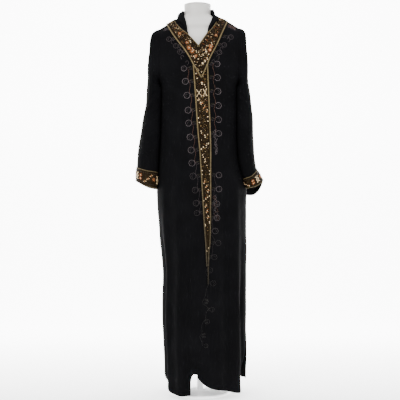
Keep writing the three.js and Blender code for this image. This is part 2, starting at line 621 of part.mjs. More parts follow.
// A cord along an edge of a band, lying on the cloth just beside it.
function piping(name, levels, edge, beside) {
  const route = levels.map((z) => {
    const angle = angleAt(z, edge(z) + beside * (CORD_R + SEAM), 'front');
    const point = cloth(z, angle, LIFT + CORD_R);
    return { point, up: point.clone().sub(cloth(z, angle)) };
  });
  return cord(name, route, CORD_R, GOLD, 0.45);
}

function pipings() {
  const low = [PIPING_MEET, BAND_LOW, ...LEVELS.filter((z) => z > BAND_LOW && z < V_JOIN), V_JOIN - 2];
  return [
    piping('piping_centre_right', low, centreX.right, -1),
    piping('piping_centre_left', low, centreX.left, 1),
    piping('piping_neck_right', armLevels('right', ARM_PIPING_TOP.right), armX.right, -1),
    piping('piping_neck_left', armLevels('left', ARM_PIPING_TOP.left), armX.left, 1),
    piping('piping_front_edge', Object.values(TAIL), openingX, 1),
  ];
}

// ---------------------------------------------------------------- hood
// A point of the neck edge, from the right of the V round the back to the left of the V.
function neckEdgePoint(part) {
  const frontShare = 0.3;
  const frontLow = 1418;
  const lift = LIFT + TRIM + LIFT;
  if (part < frontShare) {
    const z = mix(frontLow, NECK_EDGE.right, part / frontShare);
    return cloth(z, angleAt(z, neckX.right(z) + 1, 'front'), lift);
  }
  if (part > 1 - frontShare) {
    const z = mix(frontLow, NECK_EDGE.left, (1 - part) / frontShare);
    return cloth(z, angleAt(z, neckX.left(z) - 1, 'front'), lift);
  }
  const angle = mix(176, 4, (part - frontShare) / (1 - 2 * frontShare));
  return cloth(backEdge(angle), angle, lift);
}

// An open sheet's points moved along its normals.
function thicken(rows, out) {
  const last = rows.length - 1;
  return rows.map((row, i) => row.map((point, j) => {
    const across = row[Math.min(row.length - 1, j + 1)].clone().sub(row[Math.max(0, j - 1)]);
    const up = rows[Math.min(last, i + 1)][j].clone().sub(rows[Math.max(0, i - 1)][j]);
    return point.clone().addScaledVector(across.cross(up).normalize(), out);
  }));
}

function hoodStand() {
  const columns = 28;
  const rows = HOOD_STEP.length - 1;
  const foot = 3.4;
  const bulge = 5;
  const top = ['x', 'y', 'z'].map((axis) => curve(HOOD_STAND, 'part', axis));
  const inner = HOOD_STEP.map((step, i) => range(columns + 1).map((j) => {
    const part = j / columns;
    const low = neckEdgePoint(part).add(new THREE.Vector3(0, 0, foot));
    const high = new THREE.Vector3(...top.map((line) => line(part)));
    const stepped = smooth((part - 0.23) / 0.09) * smooth((0.56 - part) / 0.16);
    const inwards = mix(i / rows, step.inwards, stepped);
    const up = mix(i / rows, step.up, stepped);
    const out = new THREE.Vector3(low.x - NECK.x, low.y - NECK.y, 0).normalize();
    const puff = bulge * Math.sin(Math.PI * i / rows) * Math.sin(Math.PI * part) * (1 - stepped);
    return new THREE.Vector3(mix(low.x, high.x, inwards), mix(low.y, high.y, inwards), mix(low.z, high.z, up))
      .addScaledVector(out, puff);
  }));
  return sheet('hood_stand', thicken(inner, -CLOTH), inner, BLACK, 0.85);
}

function hoodBag() {
  const half = curve(HOOD_BAG, 'z', 'half');
  const thick = curve(HOOD_BAG, 'z', 'thick');
  const ring = (row, shrink) => range(HOOD_SIDES).map((k) => {
    const angle = 2 * Math.PI * k / HOOD_SIDES;
    const c = Math.cos(angle);
    const s = Math.sin(angle);
    const topRow = smooth((row.z - HOOD_MOUTH.low) / (HOOD_MOUTH.high - HOOD_MOUTH.low));
    const drop = s > 0 ? HOOD_MOUTH.outerDrop * s : -HOOD_MOUTH.innerLift * s;
    const z = row.z + topRow * (HOOD_MOUTH.sideLift * c * c - drop)
      + (row === HOOD_BAG[0] ? shrink : 0);
    const x = NECK.x + c * (half(row.z) - shrink);
    const against = cloth(Math.min(z, NECK_EDGE.back), angleAt(z, x, 'back')).y + HOOD_CLEAR;
    const middle = thick(row.z) / 2;
    return new THREE.Vector3(x, against + middle + s * (middle - shrink), z);
  });
  const outer = HOOD_BAG.map((row) => ring(row, 0));
  const inner = HOOD_BAG.map((row) => ring(row, CLOTH));
  return loft('hood_bag', [...outer, ...inner.reverse()], false, BLACK, 0.85);
}

// ---------------------------------------------------------------- dress form
function form() {
  const inset = curve(FORM, 'z', 'inset');
  const flatSide = 3.5;
  const rings = FORM_LEVELS.map((z) => range(FORM_SIDES).map((k) => {
    const angle = 360 * k / FORM_SIDES;
    const plain = skinWithoutFolds(z, angle, CLOTH + inset(z));
    const x = Math.min(ARMHOLE.left - flatSide, Math.max(flatSide - ARMHOLE.right, plain.x));
    return plain.setX(x);
  }));
  rings[0].forEach((p) => p.setZ(FORM_BOTTOM));
  const neckRing = (z, radius) => range(FORM_SIDES).map((k) => {
    const angle = 2 * Math.PI * k / FORM_SIDES;
    return new THREE.Vector3(NECK.x + radius * Math.cos(angle), NECK.y + radius * Math.sin(angle), z);
  });
  const collar = neckRing(FORM_NECK.collar, NECK.radius - FORM_NECK.collarIn);
  const shoulder = rings[rings.length - 1];
  rings.push(shoulder.map((p, k) => p.clone().lerp(collar[k], FORM_NECK.share).setZ(FORM_NECK.blend)));
  const middle = neckRing(FORM_NECK.middle, NECK.radius - FORM_NECK.middleIn);
  rings.push(collar, middle, neckRing(NECK.top, NECK.radius));
  return loft('form_torso', rings, false, WHITE, 0.4);
}

function skinWithoutFolds(z, angle, inwards) {
  const c = Math.cos(angle * radians);
  const s = Math.sin(angle * radians);
  const base = (level) => {
    const wide = c < 0 ? halfWidth.right(level) : halfWidth.left(level);
    const deep = s < 0 ? halfDepth.front(level) : halfDepth.back(level);
    return new THREE.Vector3(wide * Math.sign(c) * Math.abs(c) ** ROUNDNESS,
      deep * Math.sign(s) * Math.abs(s) ** ROUNDNESS, level);
  };
  const point = base(z);
  const up = base(z + 1).sub(base(z - 1));
  const wide = c < 0 ? halfWidth.right(z) : halfWidth.left(z);
  const deep = s < 0 ? halfDepth.front(z) : halfDepth.back(z);
  const flat = new THREE.Vector3(Math.sign(c) * Math.abs(c) ** (2 - ROUNDNESS) / wide,
    Math.sign(s) * Math.abs(s) ** (2 - ROUNDNESS) / deep, 0).normalize();
  const along = new THREE.Vector3(-flat.y, flat.x, 0);
  const normal = along.cross(up).normalize();
  return point.addScaledVector(normal, -inwards);
}

function lathe(name, profile, x, y, colour, roughness) {
  const points = profile.map(([r, z]) => new THREE.Vector2(r, z));
  const geometry = new THREE.LatheGeometry(points, 40);
  geometry.rotateX(Math.PI / 2);
  geometry.translate(x, y, 0);
  const material = new THREE.MeshStandardMaterial({ color: colour, roughness, metalness: 0 });
  const mesh = new THREE.Mesh(geometry, material);
  mesh.name = name;
  return mesh;
}

function formCap() {
  const low = NECK.top + SEAM;
  const rim = NECK.radius + 0.5;
  const profile = [[0, low], [rim, low], [rim, low + 3], [rim - 3.5, low + 5], [rim * 0.6, low + 6.4],
    [0, low + 7]];
  return lathe('form_cap', profile, NECK.x, NECK.y, WHITE, 0.4);
}

function formPole() {
  return lathe('form_pole', [[0, BASE.height + SEAM], [POLE_R, BASE.height + SEAM],
    [POLE_R, FORM_BOTTOM - SEAM], [0, FORM_BOTTOM - SEAM]], 0, 0, WHITE, 0.4);
}

function formBase() {
  return lathe('form_base', [[0, 0], [BASE.radius, 0], [BASE.radius, BASE.height - BASE.chamfer],
    [BASE.radius - BASE.chamfer, BASE.height], [0, BASE.height]], 0, 0, WHITE, 0.4);
}

// ---------------------------------------------------------------- the whole part
const kaftan = new THREE.Group();
kaftan.add(form(), formCap(), formPole(), formBase());
kaftan.add(front('right'), front('left'), back());
['right', 'left'].forEach((side) => {
  kaftan.add(sleeve(side), cuff(side), cuffPiping(side, 'top'), cuffPiping(side, 'bottom'), neckArm(side));
});
kaftan.add(centreBand(), backBand(), hoodStand(), hoodBag());
kaftan.add(...pipings());

export default kaftan;
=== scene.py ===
"""Long black hooded kaftan with beaded bands, worn on a headless dress form."""
import math
import random

import bmesh
import bpy
import numpy as np
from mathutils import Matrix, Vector


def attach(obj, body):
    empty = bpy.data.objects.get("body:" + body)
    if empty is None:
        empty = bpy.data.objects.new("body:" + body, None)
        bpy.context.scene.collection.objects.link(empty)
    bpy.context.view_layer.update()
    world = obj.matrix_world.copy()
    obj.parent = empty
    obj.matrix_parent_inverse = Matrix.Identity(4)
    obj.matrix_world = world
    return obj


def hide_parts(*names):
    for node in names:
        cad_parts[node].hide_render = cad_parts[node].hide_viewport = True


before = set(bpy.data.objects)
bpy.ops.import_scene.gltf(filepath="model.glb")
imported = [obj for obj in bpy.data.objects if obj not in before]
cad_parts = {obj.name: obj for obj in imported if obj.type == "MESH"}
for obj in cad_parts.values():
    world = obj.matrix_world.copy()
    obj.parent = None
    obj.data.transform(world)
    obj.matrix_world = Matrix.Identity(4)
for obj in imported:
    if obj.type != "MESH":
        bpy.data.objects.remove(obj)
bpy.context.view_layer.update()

bl_info = {
    "name": "Hooded kaftan on a dress form",
    "version": (1, 0, 0),
    "blender": (4, 5, 0),
    "location": "View3D > Sidebar > Kaftan",
    "description": "Builds the cloth, bands, beadwork and dress form of a hooded kaftan",
    "category": "Object",
}

MM = 0.001
# Points closer than this are welded, in metres.
WELD = 0.00002
LATHE_STEPS = 72
CORD_PLIES = 3
CORD_SIDES = 15
CORD_STEP = 1.1
# How deep the grooves between the plies are, as a share of the cord's radius.
CORD_GROOVE = 0.26
# Beads are flattened, and sunk into the cloth by a share of their height.
BEAD_HEIGHT = 0.8
BEAD_SINK = 0.35
# Distances of strewn beads, in millimetres.
BEAD_PITCH = {"along": 4.3, "off": 4.4}


def rows(columns, *values):
    """A table with named columns."""
    return [dict(zip(columns.split(), value)) for value in values]


# ------------------------------------------------------------ sizes of the garment, in millimetres
ROUNDNESS = 0.9
SEAM = 0.3
TRIM = 1.6
LIFT = 0.7
GROUND_TOP = LIFT + TRIM
CORD = 2.6
# The two fronts lap over each other by this much each, so that no light shows between them.
FRONT_LAP = 0.7
ARMHOLE = {"right": 160, "left": 152, "z": 1215}
NECK = {"x": -10, "y": 2, "radius": 53.6, "top": 1541}
NECK_EDGE = {"right": 1477, "left": 1489, "back": 1493}
HEM_JOIN = 114
NECK_JOIN = 1433
OPENING_TOP = 1364
# Shares of a panel's rows below and above the join to the neck.
BODY_SHARE, NECK_SHARE = 0.93, 0.07
HEM_TURN = {"height": 14, "edge": 3, "out": 0.5, "zone": 40}
BAND_BOTTOM = 535
BAND_TOP = 1288

BODY = rows(
    "z right left front back",
    (0, 139, 184, 158, 148), (85, 141, 185, 155, 146), (150, 144, 187, 152, 144), (245, 150, 185, 148, 140),
    (345, 152, 184, 145, 136), (485, 149, 185, 141, 132), (605, 160, 186, 138, 128),
    (715, 168, 185, 135, 123), (800, 172, 186, 132, 118), (845, 171, 178, 131, 116),
    (885, 169, 165, 130, 114), (940, 166, 154, 129, 112), (1010, 162, 151, 128, 110),
    (1100, 160, 150, 128, 107), (1215, 160, 152, 129, 106), (1250, 176, 168, 127, 106),
    (1300, 192, 183, 122, 105), (1350, 197, 187, 113, 102), (1400, 196, 186, 99, 95),
    (1421, 190, 182, 91, 90), (1433, 180, 174, 86, 86), (1446, 160.5, 159, 80, 82), (1451, 152, 152, 77, 80),
    (1461, 136, 136, 72, 76), (1469, 125, 124, 68, 73), (1477, 112, 108, 64, 70), (1489, 94, 80, 57, 66),
    (1500, 78, 66, 52, 62),
)

# Long folds by angle round the body: 0 is the wearer's left, 90 the back, 270 the front.
FOLDS = rows(
    "angle lean width rise low high",
    (238, 6, 6.5, 7, -60, 1260), (251, 2, 6, -8, -60, 620), (262, -2, 4, -5, 180, 560),
    (214, 4, 7, 8, -60, 980), (203, 3, 6, -9, -60, 760), (291, -2, 7, 6, -60, 900),
    (304, -3, 6.5, -9, -60, 1020), (320, -4, 7, 8, -60, 1080), (333, -2, 6, -9, -60, 720),
    (158, -4, 7, -12, -60, 940), (142, -3, 7.5, 12, -60, 1130), (124, -2, 7, -13, -60, 1050),
    (104, 0, 8, 11, -60, 1180), (86, 0, 7, -12, -60, 1080), (68, 3, 7.5, 12, -60, 1150),
    (50, 4, 7, -13, -60, 1010), (33, 3, 7, 10, -60, 930), (18, 2, 5, -8, -60, 700),
)

# Short creases, each laid between two places of the front or the back.
CREASES = rows(
    "face x0 z0 x1 z1 width rise",
    ("front", -152, 1205, -96, 1118, 9, -3.5), ("front", -154, 1176, -112, 1052, 9, 3),
    ("front", -150, 1120, -128, 960, 8, -3), ("front", 147, 1198, 92, 1112, 9, -3.5),
    ("front", 146, 1160, 116, 1036, 9, 3), ("front", 144, 1090, 128, 930, 8, -2.5),
    ("front", -62, 1190, -50, 905, 9, -2.2), ("front", 70, 1180, 84, 935, 10, -2),
    ("front", -35, 532, -38, 330, 6, -5), ("front", 140, 500, 155, 222, 5, 4),
    ("front", 158, 470, 166, 200, 6, -4), ("front", -120, 420, -104, 150, 8, -4),
    ("front", 70, 380, 96, 96, 10, 4.5), ("front", 46, 300, 58, 84, 9, -4),
    ("back", -142, 1196, -58, 1120, 10, -4), ("back", -146, 1150, -70, 1040, 11, 3.5),
    ("back", 138, 1190, 60, 1116, 10, -4), ("back", 142, 1140, 74, 1034, 11, 3.5),
    ("back", -40, 1090, -22, 860, 10, -3), ("back", 36, 1060, 52, 830, 10, 3),
    ("back", -90, 600, -72, 300, 10, -5), ("back", 84, 560, 110, 240, 10, 5),
)

OPENING = rows("z x", (0, -26), (114, -16), (208, 10), (335, 22), (442, 28), (569, 29), (638, 29), (761, 26),
               (938, 20), (1034, 15), (1288, 1.5), (1364, -6))
NOTCH = {
    "right": rows("z x", (0, -38), (60, -38), (85, -34), (100, -25), (114, -16)),
    "left": rows("z x", (0, -8), (88, -9), (114, -16)),
}
NECKLINE = {
    "right": rows("z x", (1364, -6), (1412, -49), (1433, -74), (1455, -90), (1477, -101)),
    "left": rows("z x", (1364, -6), (1412, 26), (1433, 45), (1461, 61), (1489, 72)),
}
HEM = {
    "right": rows("x z", (-150, 86), (-139, 76), (-124, 40), (-106, 18), (-70, 13), (-36, 18), (0, 40)),
    "left": rows("x z", (-14, 92), (0, 77), (15, 62), (42, 46), (73, 39), (110, 30), (148, 18), (190, 13)),
    "back": rows("x z", (-150, 98), (-132, 78), (-100, 48), (0, 34), (110, 36), (190, 52)),
}
# How far the free edges beside the side slits stand from the side.
SLIT = rows("z right left back", (0, 5, 76, 5), (62, 3, 85, 3), (150, 0.15, 60, 0.15), (250, 0.15, 24, 0.15),
            (345, 0.15, 0.15, 0.15))
CENTRE_BAND = rows(
    "z right left",
    (510, 28.9, 29.1), (535, 28, 30), (569, 26.5, 31), (588, 26, 34), (640, 21.5, 36.5), (761, 14.3, 37.5),
    (938, 3.5, 37.5), (1034, -5, 35.5), (1160, -13.5, 30.5), (1288, -22.5, 25.5),
)
ARM = {
    "right": rows("z x", (1288, -22.5), (1308, -33), (1342, -53), (1391, -89), (1433, -115), (1455, -125),
                  (1477, -130)),
    "left": rows("z x", (1288, 25.5), (1304, 31), (1368, 62.5), (1412, 81), (1461, 101), (1489, 109)),
}
V_POINT = {"x": 6, "z": 1234, "overlap": 0.4}
# Thickness of the point of the V, in metres.
POINT_THICKNESS = 0.0011
BACK_BAND = {"side": 11, "middle": 46, "lift": 1.3, "ends": 1.2}
PIPING_MEET = 510
FRONT_EDGE_PIPING = {"low": 442, "thinner": 0.75}
ARM_PIPING_TOP = {"right": 1463, "left": 1470}
ARM_BAND_TOP = {"right": 1474, "left": 1486}
# Thin piping along the inner edge of the V.
RIM = {"low": 1355, "right": 1468, "left": 1478, "beside": 2.6, "radius": 1.6, "lift": 1.2}

SHOULDER_TURN = rows("turn right left root", (0, 231, 236, 0), (4, 219, 226, 2.4), (8, 207, 205, 4.8),
                     (12, 178, 152, 7.2), (16, 143, 126, 9.6), (24, 110, 92, 12.5), (38, 78, 63, 16),
                     (60, 57, 46.5, 21), (90, 51.5, 43.5, 27))
UPPER_DEPTH = 74
UNDERARM_GAP = 0.9
CLING = 14
SLEEVE = {
    "right": rows("outer outerZ inner innerZ depth front back", (215, 1160, 161.6, 1155, 76, 0, 0),
                  (227, 1090, 162.2, 1080, 76, 0, 0), (239, 1012, 164.2, 1000, 77, 0, 0),
                  (249, 945, 168.6, 925, 78, 0, -2), (251.3, 906, 170.6, 885, 79.6, -3.4, -5.4),
                  (252, 893, 174.6, 871, 80, -4, -6), (253, 868, 176, 840, 81, -5, -8),
                  (254, 843, 176.8, 809, 82, -6, -10)),
    "left": rows("outer outerZ inner innerZ depth front back", (204, 1160, 152.8, 1155, 74, 0, 0),
                 (211, 1090, 151.8, 1080, 74, 0, 0), (213, 1012, 153.2, 1000, 74, 0, 0),
                 (217, 945, 157.4, 930, 73, 0, -4), (223.5, 900, 174.4, 862, 70.6, -8, -13),
                 (226, 887, 182.2, 848, 70, -10, -16), (239, 866, 186.6, 830, 68, -12, -30),
                 (251, 845, 189.6, 815, 66, -12, -44)),
}
SLEEVE_RIPPLE = {"waves": 4, "height": 2.5}
SLEEVE_FULLNESS = 0.8
# The sleeves' creases fade out near the armhole, above the cuff and beside the body.
CREASE_FADE = {"ring": 4, "z": 905, "degrees": 38}
CUFF_ROWS = 2
# Cuff bands with their cords and dark bead rows; perRing is the length of one row of the sleeve there.
CUFF = {
    "lift": 1.3, "thick": 1.2, "stop": 4.3, "perRing": 29,
    "cord": 1.6, "cordLift": 0.5, "cordAbove": 2.2, "cordStop": 1.9,
    "rowOff": 19.5, "lowRowOff": -19,
}

# Sleeve creases: level and angle of the middle (90 the front, 180 the body side, 270 the back), slope in
# millimetres a degree, width, angular spread and height.
SLEEVE_CREASES = rows(
    "z angle slope width spread rise",
    (1175, 100, 0.5, 11, 40, -4), (1140, 84, 0.7, 12, 44, 3.5), (1098, 112, 0.55, 12, 46, -4),
    (1062, 76, 0.35, 10, 40, 3), (1034, 104, -0.2, 9, 38, -4.5), (1008, 88, 0.25, 9, 42, 4),
    (984, 110, -0.1, 9, 36, -4), (955, 80, 0.3, 10, 40, 3), (1160, 262, -0.5, 12, 42, -4.5),
    (1120, 284, -0.6, 12, 44, 4), (1076, 256, -0.3, 11, 42, -4), (1040, 276, 0.2, 10, 40, 4),
    (1012, 258, -0.2, 9, 40, -5), (980, 280, 0.25, 10, 40, 4), (946, 262, -0.3, 10, 38, -3.5),
    (1300, 40, 1.4, 14, 22, -3), (1270, 318, -1.4, 14, 22, -3),
)

HOOD_STAND = rows("part x y z", (0.00, -51, -85, 1437), (0.12, -57, -66, 1468), (0.24, -68, -30, 1504),
                  (0.36, -71, 8, 1521), (0.50, -50, 50, 1526), (0.62, -10, 61, 1530), (0.74, 30, 48, 1533),
                  (0.84, 48, 14, 1528), (0.90, 50, -36, 1498), (1.00, 33, -85, 1442))
# On the right shoulder the stand lies flat first and then stands up.
HOOD_STEP = rows("share up inwards", (0.25, 0.14, 0.52), (0.5, 0.5, 0.6), (0.75, 0.84, 0.72))
# The hood past its roll: lowest point of the fall, then the free edge; out is measured behind the garment.
HOOD_FALL = rows(
    "part x z out edgeX edgeZ edgeOut",
    (0.00, -56, 1432, 8, -57, 1434, 10), (0.12, -66, 1452, 8, -69, 1458, 13),
    (0.22, -82, 1462, 8, -86, 1470, 15), (0.30, -104, 1440, 9, -98, 1468, 22),
    (0.36, -121, 1372, 13, -102, 1470, 30), (0.42, -112, 1262, 17, -84, 1464, 36),
    (0.50, -58, 1146, 18, -44, 1456, 38), (0.57, -10, 1124, 18, -10, 1452, 39),
    (0.64, 38, 1146, 18, 26, 1456, 38), (0.72, 92, 1262, 17, 64, 1466, 36),
    (0.78, 101, 1372, 13, 80, 1474, 30), (0.84, 84, 1448, 9, 78, 1478, 22),
    (0.90, 66, 1466, 8, 69, 1476, 15), (0.95, 50, 1452, 8, 53, 1460, 13), (1.00, 38, 1436, 8, 39, 1440, 10),
)
HOOD_CLEAR = 4.4
# Where the hood's seam starts on both arms of the V, and its shares of the way round.
HOOD_FOOT = {"right": 1408, "left": 1412, "share": 0.3, "below": 2, "first": 176, "last": 4}
# No front lies above this level.
FRONT_TOP = 1476

FORM_INSET = rows("z inset", (640, 52), (652, 36), (700, 27), (800, 22), (900, 30), (1000, 38), (1100, 31),
                  (1215, 16), (1300, 9), (1364, 4), (1400, 3), (1442, 6), (1456, 1.3), (1480, 1.1))
FORM_BOTTOM = 640
FORM = {"clear": 2.4, "columns": 240, "beside": 3.5, "shoulder": 1488}
# Levels of the form's neck and how much narrower than the cap it is there.
FORM_NECK = rows("z less", (1506, 1.2), (1530, 0.5), (1541, 0))
BASE = {"radius": 120, "height": 8, "chamfer": 3, "collar": 16}
POLE = 12.5
POLE_GROOVE = {"z": 328, "depth": 0.7}

# The studio's floor, which bends up into its backdrop.
SWEEP = {"length": 9000, "before": 4200, "flat": 1600, "bend": 1400, "width": 12000, "below": 0.2}
# Lamps, in metres and watts.
LAMPS = rows(
    "name place aim size power",
    ("key", (-2.2, -2.6, 2.9), (0, 0, 0.9), 2.2, 110),
    ("fill", (2.6, -2.2, 1.6), (0, 0, 0.9), 2.4, 50),
    ("top", (0, -0.4, 3.6), (0, 0, 1.0), 2.0, 50),
    ("backdrop", (0, 1.0, 3.4), (0, 4.4, 1.4), 3.4, 260),
)

# Embroidered rings beside the opening, of which the open ones break off towards the band; the last six
# stand beside the V.
RINGS = rows(
    "x z radius open",
    (-62, 1272, 12, 0), (-56, 1222, 14, 0), (-50, 1168, 14, 0), (-46, 1111, 14, 0), (-44, 1061, 14, 0),
    (-38, 1007, 14, 0), (-34, 957, 14, 0), (-31, 907, 14, 0), (-27, 857, 14, 0), (-19, 803, 13, 0),
    (-15, 753, 13, 0), (-12, 715, 12, 0), (66, 1290, 13, 1), (67, 1237, 14, 1), (69, 1184, 14, 1),
    (71, 1130, 14, 1), (72, 1076, 14, 1), (73, 1022, 13, 1), (73, 861, 13, 0), (73, 807, 13, 0),
    (65, 750, 13, 0), (65, 696, 13, 0), (58, 646, 13, 0), (69, 600, 12, 0), (54, 546, 12, 0),
    (38, 496, 12, 0), (50, 446, 12, 0), (23, 377, 11, 1), (46, 346, 10, 1), (27, 300, 11, 1),
    (15, 247, 10, 1), (23, 208, 9, 1), (-121, 1392, 11, 0), (-94, 1363, 11, 0), (-78, 1338, 11, 0),
    (121, 1401, 11, 0), (94, 1367, 11, 0), (75, 1336, 11, 0),
)


# ------------------------------------------------------------ reading the tables
def monotone(at, value):
    """A smooth curve through rows of numbers or points that never swings past them."""
    at, value = np.asarray(at, float), np.asarray(value, float)
    gap = np.diff(at).reshape((-1,) + (1,) * (value.ndim - 1))
    slope = np.diff(value, axis=0) / gap
    tangent = np.zeros_like(value)
    tangent[0], tangent[-1] = slope[0], slope[-1]
    both = slope[:-1] * slope[1:]
    total = np.where(both > 0, slope[:-1] + slope[1:], 1.0)
    tangent[1:-1] = np.where(both > 0, 2 * both / total, 0.0)

    def read(x):
        x = np.clip(x, at[0], at[-1])
        i = np.clip(np.searchsorted(at, x, side="right") - 1, 0, len(at) - 2)
        span = at[i + 1] - at[i]
        t = (x - at[i]) / span
        deeper = (...,) + (None,) * (value.ndim - 1)
        t, span = t[deeper], span[deeper]
        h = (1 - t) ** 2
        return ((1 + 2 * t) * h * value[i] + t * h * span * tangent[i]
                + t * t * (3 - 2 * t) * value[i + 1] + t * t * (t - 1) * span * tangent[i + 1])

    return read


def curve(table, key, column):
    """A column of a table as a smooth curve of its key."""
    return monotone([row[key] for row in table], [row[column] for row in table])


def smooth(t):
    """From 0 to 1 with soft ends."""
    t = np.clip(t, 0, 1)
    return t * t * (3 - 2 * t)


def mix(a, b, t):
    """The value a share of the way from one to the other."""
    return a + (b - a) * t


half_width = {side: curve(BODY, "z", side) for side in ("right", "left")}
half_depth = {face: curve(BODY, "z", face) for face in ("front", "back")}
opening_x = curve(OPENING, "z", "x")
notch_x = {side: curve(NOTCH[side], "z", "x") for side in NOTCH}
neck_x = {side: curve(NECKLINE[side], "z", "x") for side in NECKLINE}
arm_x = {side: curve(ARM[side], "z", "x") for side in ARM}
centre_x = {side: curve(CENTRE_BAND, "z", side) for side in ("right", "left")}
hem_z = {part: curve(HEM[part], "x", "z") for part in HEM}
form_inset = curve(FORM_INSET, "z", "inset")
slit_gap = {part: curve(SLIT, "z", part) for part in ("right", "left", "back")}
SIGN = {"right": -1, "left": 1}


# ------------------------------------------------------------ the surface of the garment
def unit(vectors):
    """Vectors brought to length 1."""
    size = np.linalg.norm(vectors, axis=-1, keepdims=True)
    return vectors / np.maximum(size, 1e-9)


def section(z, angle):
    """Oval section of the garment: place and outward direction."""
    turn = np.radians(angle)
    c, s = np.cos(turn), np.sin(turn)
    wide = np.where(c < 0, half_width["right"](z), half_width["left"](z))
    deep = np.where(s < 0, half_depth["front"](z), half_depth["back"](z))
    x = wide * np.sign(c) * np.abs(c) ** ROUNDNESS
    y = deep * np.sign(s) * np.abs(s) ** ROUNDNESS
    nx = np.sign(c) * np.abs(c) ** (2 - ROUNDNESS) / wide
    ny = np.sign(s) * np.abs(s) ** (2 - ROUNDNESS) / deep
    size = np.hypot(nx, ny)
    return x, y, nx / size, ny / size


def fold_height(z, angle, x, y):
    """How far the folds and creases lift the cloth."""
    lift = np.zeros_like(x)
    for fold in FOLDS:
        down = smooth((fold["high"] - z) / 420) * smooth((z - fold["low"]) / 60)
        away = (angle - fold["angle"] - fold["lean"] * z / fold["high"]) / fold["width"]
        lift += fold["rise"] * down * np.exp(-away * away)
    inside = smooth((np.where(x < 0, half_width["right"](z), half_width["left"](z)) - np.abs(x)) / 22)
    for crease in CREASES:
        dx, dz = crease["x1"] - crease["x0"], crease["z1"] - crease["z0"]
        length = math.hypot(dx, dz)
        along = ((x - crease["x0"]) * dx + (z - crease["z0"]) * dz) / length
        across = ((x - crease["x0"]) * dz - (z - crease["z0"]) * dx) / length
        across = across + 6 * np.sin(along / 47 + crease["x0"])
        ends = smooth(along / (0.35 * length)) * smooth((length - along) / (0.35 * length))
        face = smooth(y / 30) if crease["face"] == "back" else smooth(-y / 30)
        lift += crease["rise"] * ends * face * inside * np.exp(-(across / crease["width"]) ** 2)
    low = smooth((1240 - z) / 500)
    lift += low * (0.9 * np.sin(x * 0.071 + z * 0.013) * np.sin(z * 0.019 + x * 0.02)
                   + 0.7 * np.sin(x * 0.12 - z * 0.021 + 1.7) * np.sin(z * 0.031 + 0.6))
    hem = smooth((150 - z) / 150)
    lift += hem * (2.4 * np.sin(angle * 0.21 + 0.4) * np.sin(angle * 0.083))
    return lift * smooth((1500 - z) / 60)


def skin(z, angle):
    """A point of the cloth's outer face."""
    z, angle = np.broadcast_arrays(np.asarray(z, float), np.asarray(angle, float))
    x, y, nx, ny = section(z, angle)
    lift = fold_height(z, angle, x, y)
    return np.stack([x + lift * nx, y + lift * ny, z], axis=-1)


def cloth_normal(z, angle):
    """Outward normal of the cloth."""
    around = skin(z, angle + 0.4) - skin(z, angle - 0.4)
    up = skin(z + 1.0, angle) - skin(z - 1.0, angle)
    return unit(np.cross(around, up))


def cloth(z, angle, out=0.0):
    """A point of the cloth moved along its normal."""
    z, angle = np.broadcast_arrays(np.asarray(z, float), np.asarray(angle, float))
    return skin(z, angle) + cloth_normal(z, angle) * np.asarray(out)[..., None]


def angle_at(z, x, face):
    """Angle of the surface at a distance across the front or the back."""
    wide = np.where(x < 0, half_width["right"](z), half_width["left"](z))
    share = np.minimum(1, np.abs(x) / wide)
    half = np.degrees(np.arccos(np.sign(x) * share ** (1 / ROUNDNESS)))
    return 360 - half if face == "front" else half


def side_angle(z, side, face):
    """Angle at which a wall ends beside its side seam or armhole."""
    hole = angle_at(z, SIGN[side] * (ARMHOLE[side] - SEAM / 2), face)
    gap = slit_gap[side if face == "front" else "back"](z)
    away = np.degrees(np.arcsin((gap / half_depth[face](z)) ** (1 / ROUNDNESS)))
    if face == "front":
        seam = 180 + away if side == "right" else 360 - away
    else:
        seam = 180 - away if side == "right" else away
    return np.where((z > ARMHOLE["z"]) & (half_width[side](z) > ARMHOLE[side]), hole, seam)


def front_edge(z, side, over=0.0):
    """Angle at which a front ends beside the opening or the neck."""
    above = np.where(z <= OPENING_TOP, opening_x(z), neck_x[side](z))
    x = np.where(z < HEM_JOIN, notch_x[side](z), above)
    return angle_at(z, x + SIGN[side] * (SEAM / 2 - over), "front")


def back_edge(angle):
    """Level of the top of the back at an angle."""
    across = angle / 180
    side = mix(NECK_EDGE["left"], NECK_EDGE["right"], smooth(across))
    return mix(side, NECK_EDGE["back"], np.sin(across * np.pi) ** 2)


def hem_level(level, hem):
    """The lowest rows close up to the hem."""
    return np.where(level >= HEM_JOIN, level, mix(hem, HEM_JOIN, level / HEM_JOIN))


def on_front(x, z, out=0.0):
    """A point on the front at a distance across it, with its normal."""
    x, z = np.broadcast_arrays(np.asarray(x, float), np.asarray(z, float))
    angle = angle_at(z, x, "front")
    return cloth(z, angle, out), cloth_normal(z, angle)


# ------------------------------------------------------------ lines of points
def pairs(x, z):
    """A line of places from two columns."""
    return np.stack(np.broadcast_arrays(x, z), axis=-1)


def curl(x, z, turn, reach, way=1):
    """A line round a place, at an angle and a distance for each of its points."""
    return pairs(x + way * reach * np.cos(turn), z + reach * np.sin(turn))


def distances(path):
    """Distance along a line from its first point to each of its points."""
    return np.concatenate([[0], np.cumsum(np.linalg.norm(np.diff(path, axis=0), axis=1))])


def read_line(path, run, at):
    """Points at distances along a line."""
    return np.stack([np.interp(at, run, column) for column in path.T], axis=-1)


def resampled(path, step, closed=False):
    """Places at even steps along a line of points, with its direction."""
    path = np.asarray(path, float)
    if closed:
        path = np.vstack([path, path[:1]])
    run = distances(path)
    count = max(2, int(round(run[-1] / step)) + (0 if closed else 1))
    at = np.linspace(0, run[-1], count, endpoint=not closed)
    return read_line(path, run, at), read_line(path, run, at + 0.5) - read_line(path, run, at - 0.5)


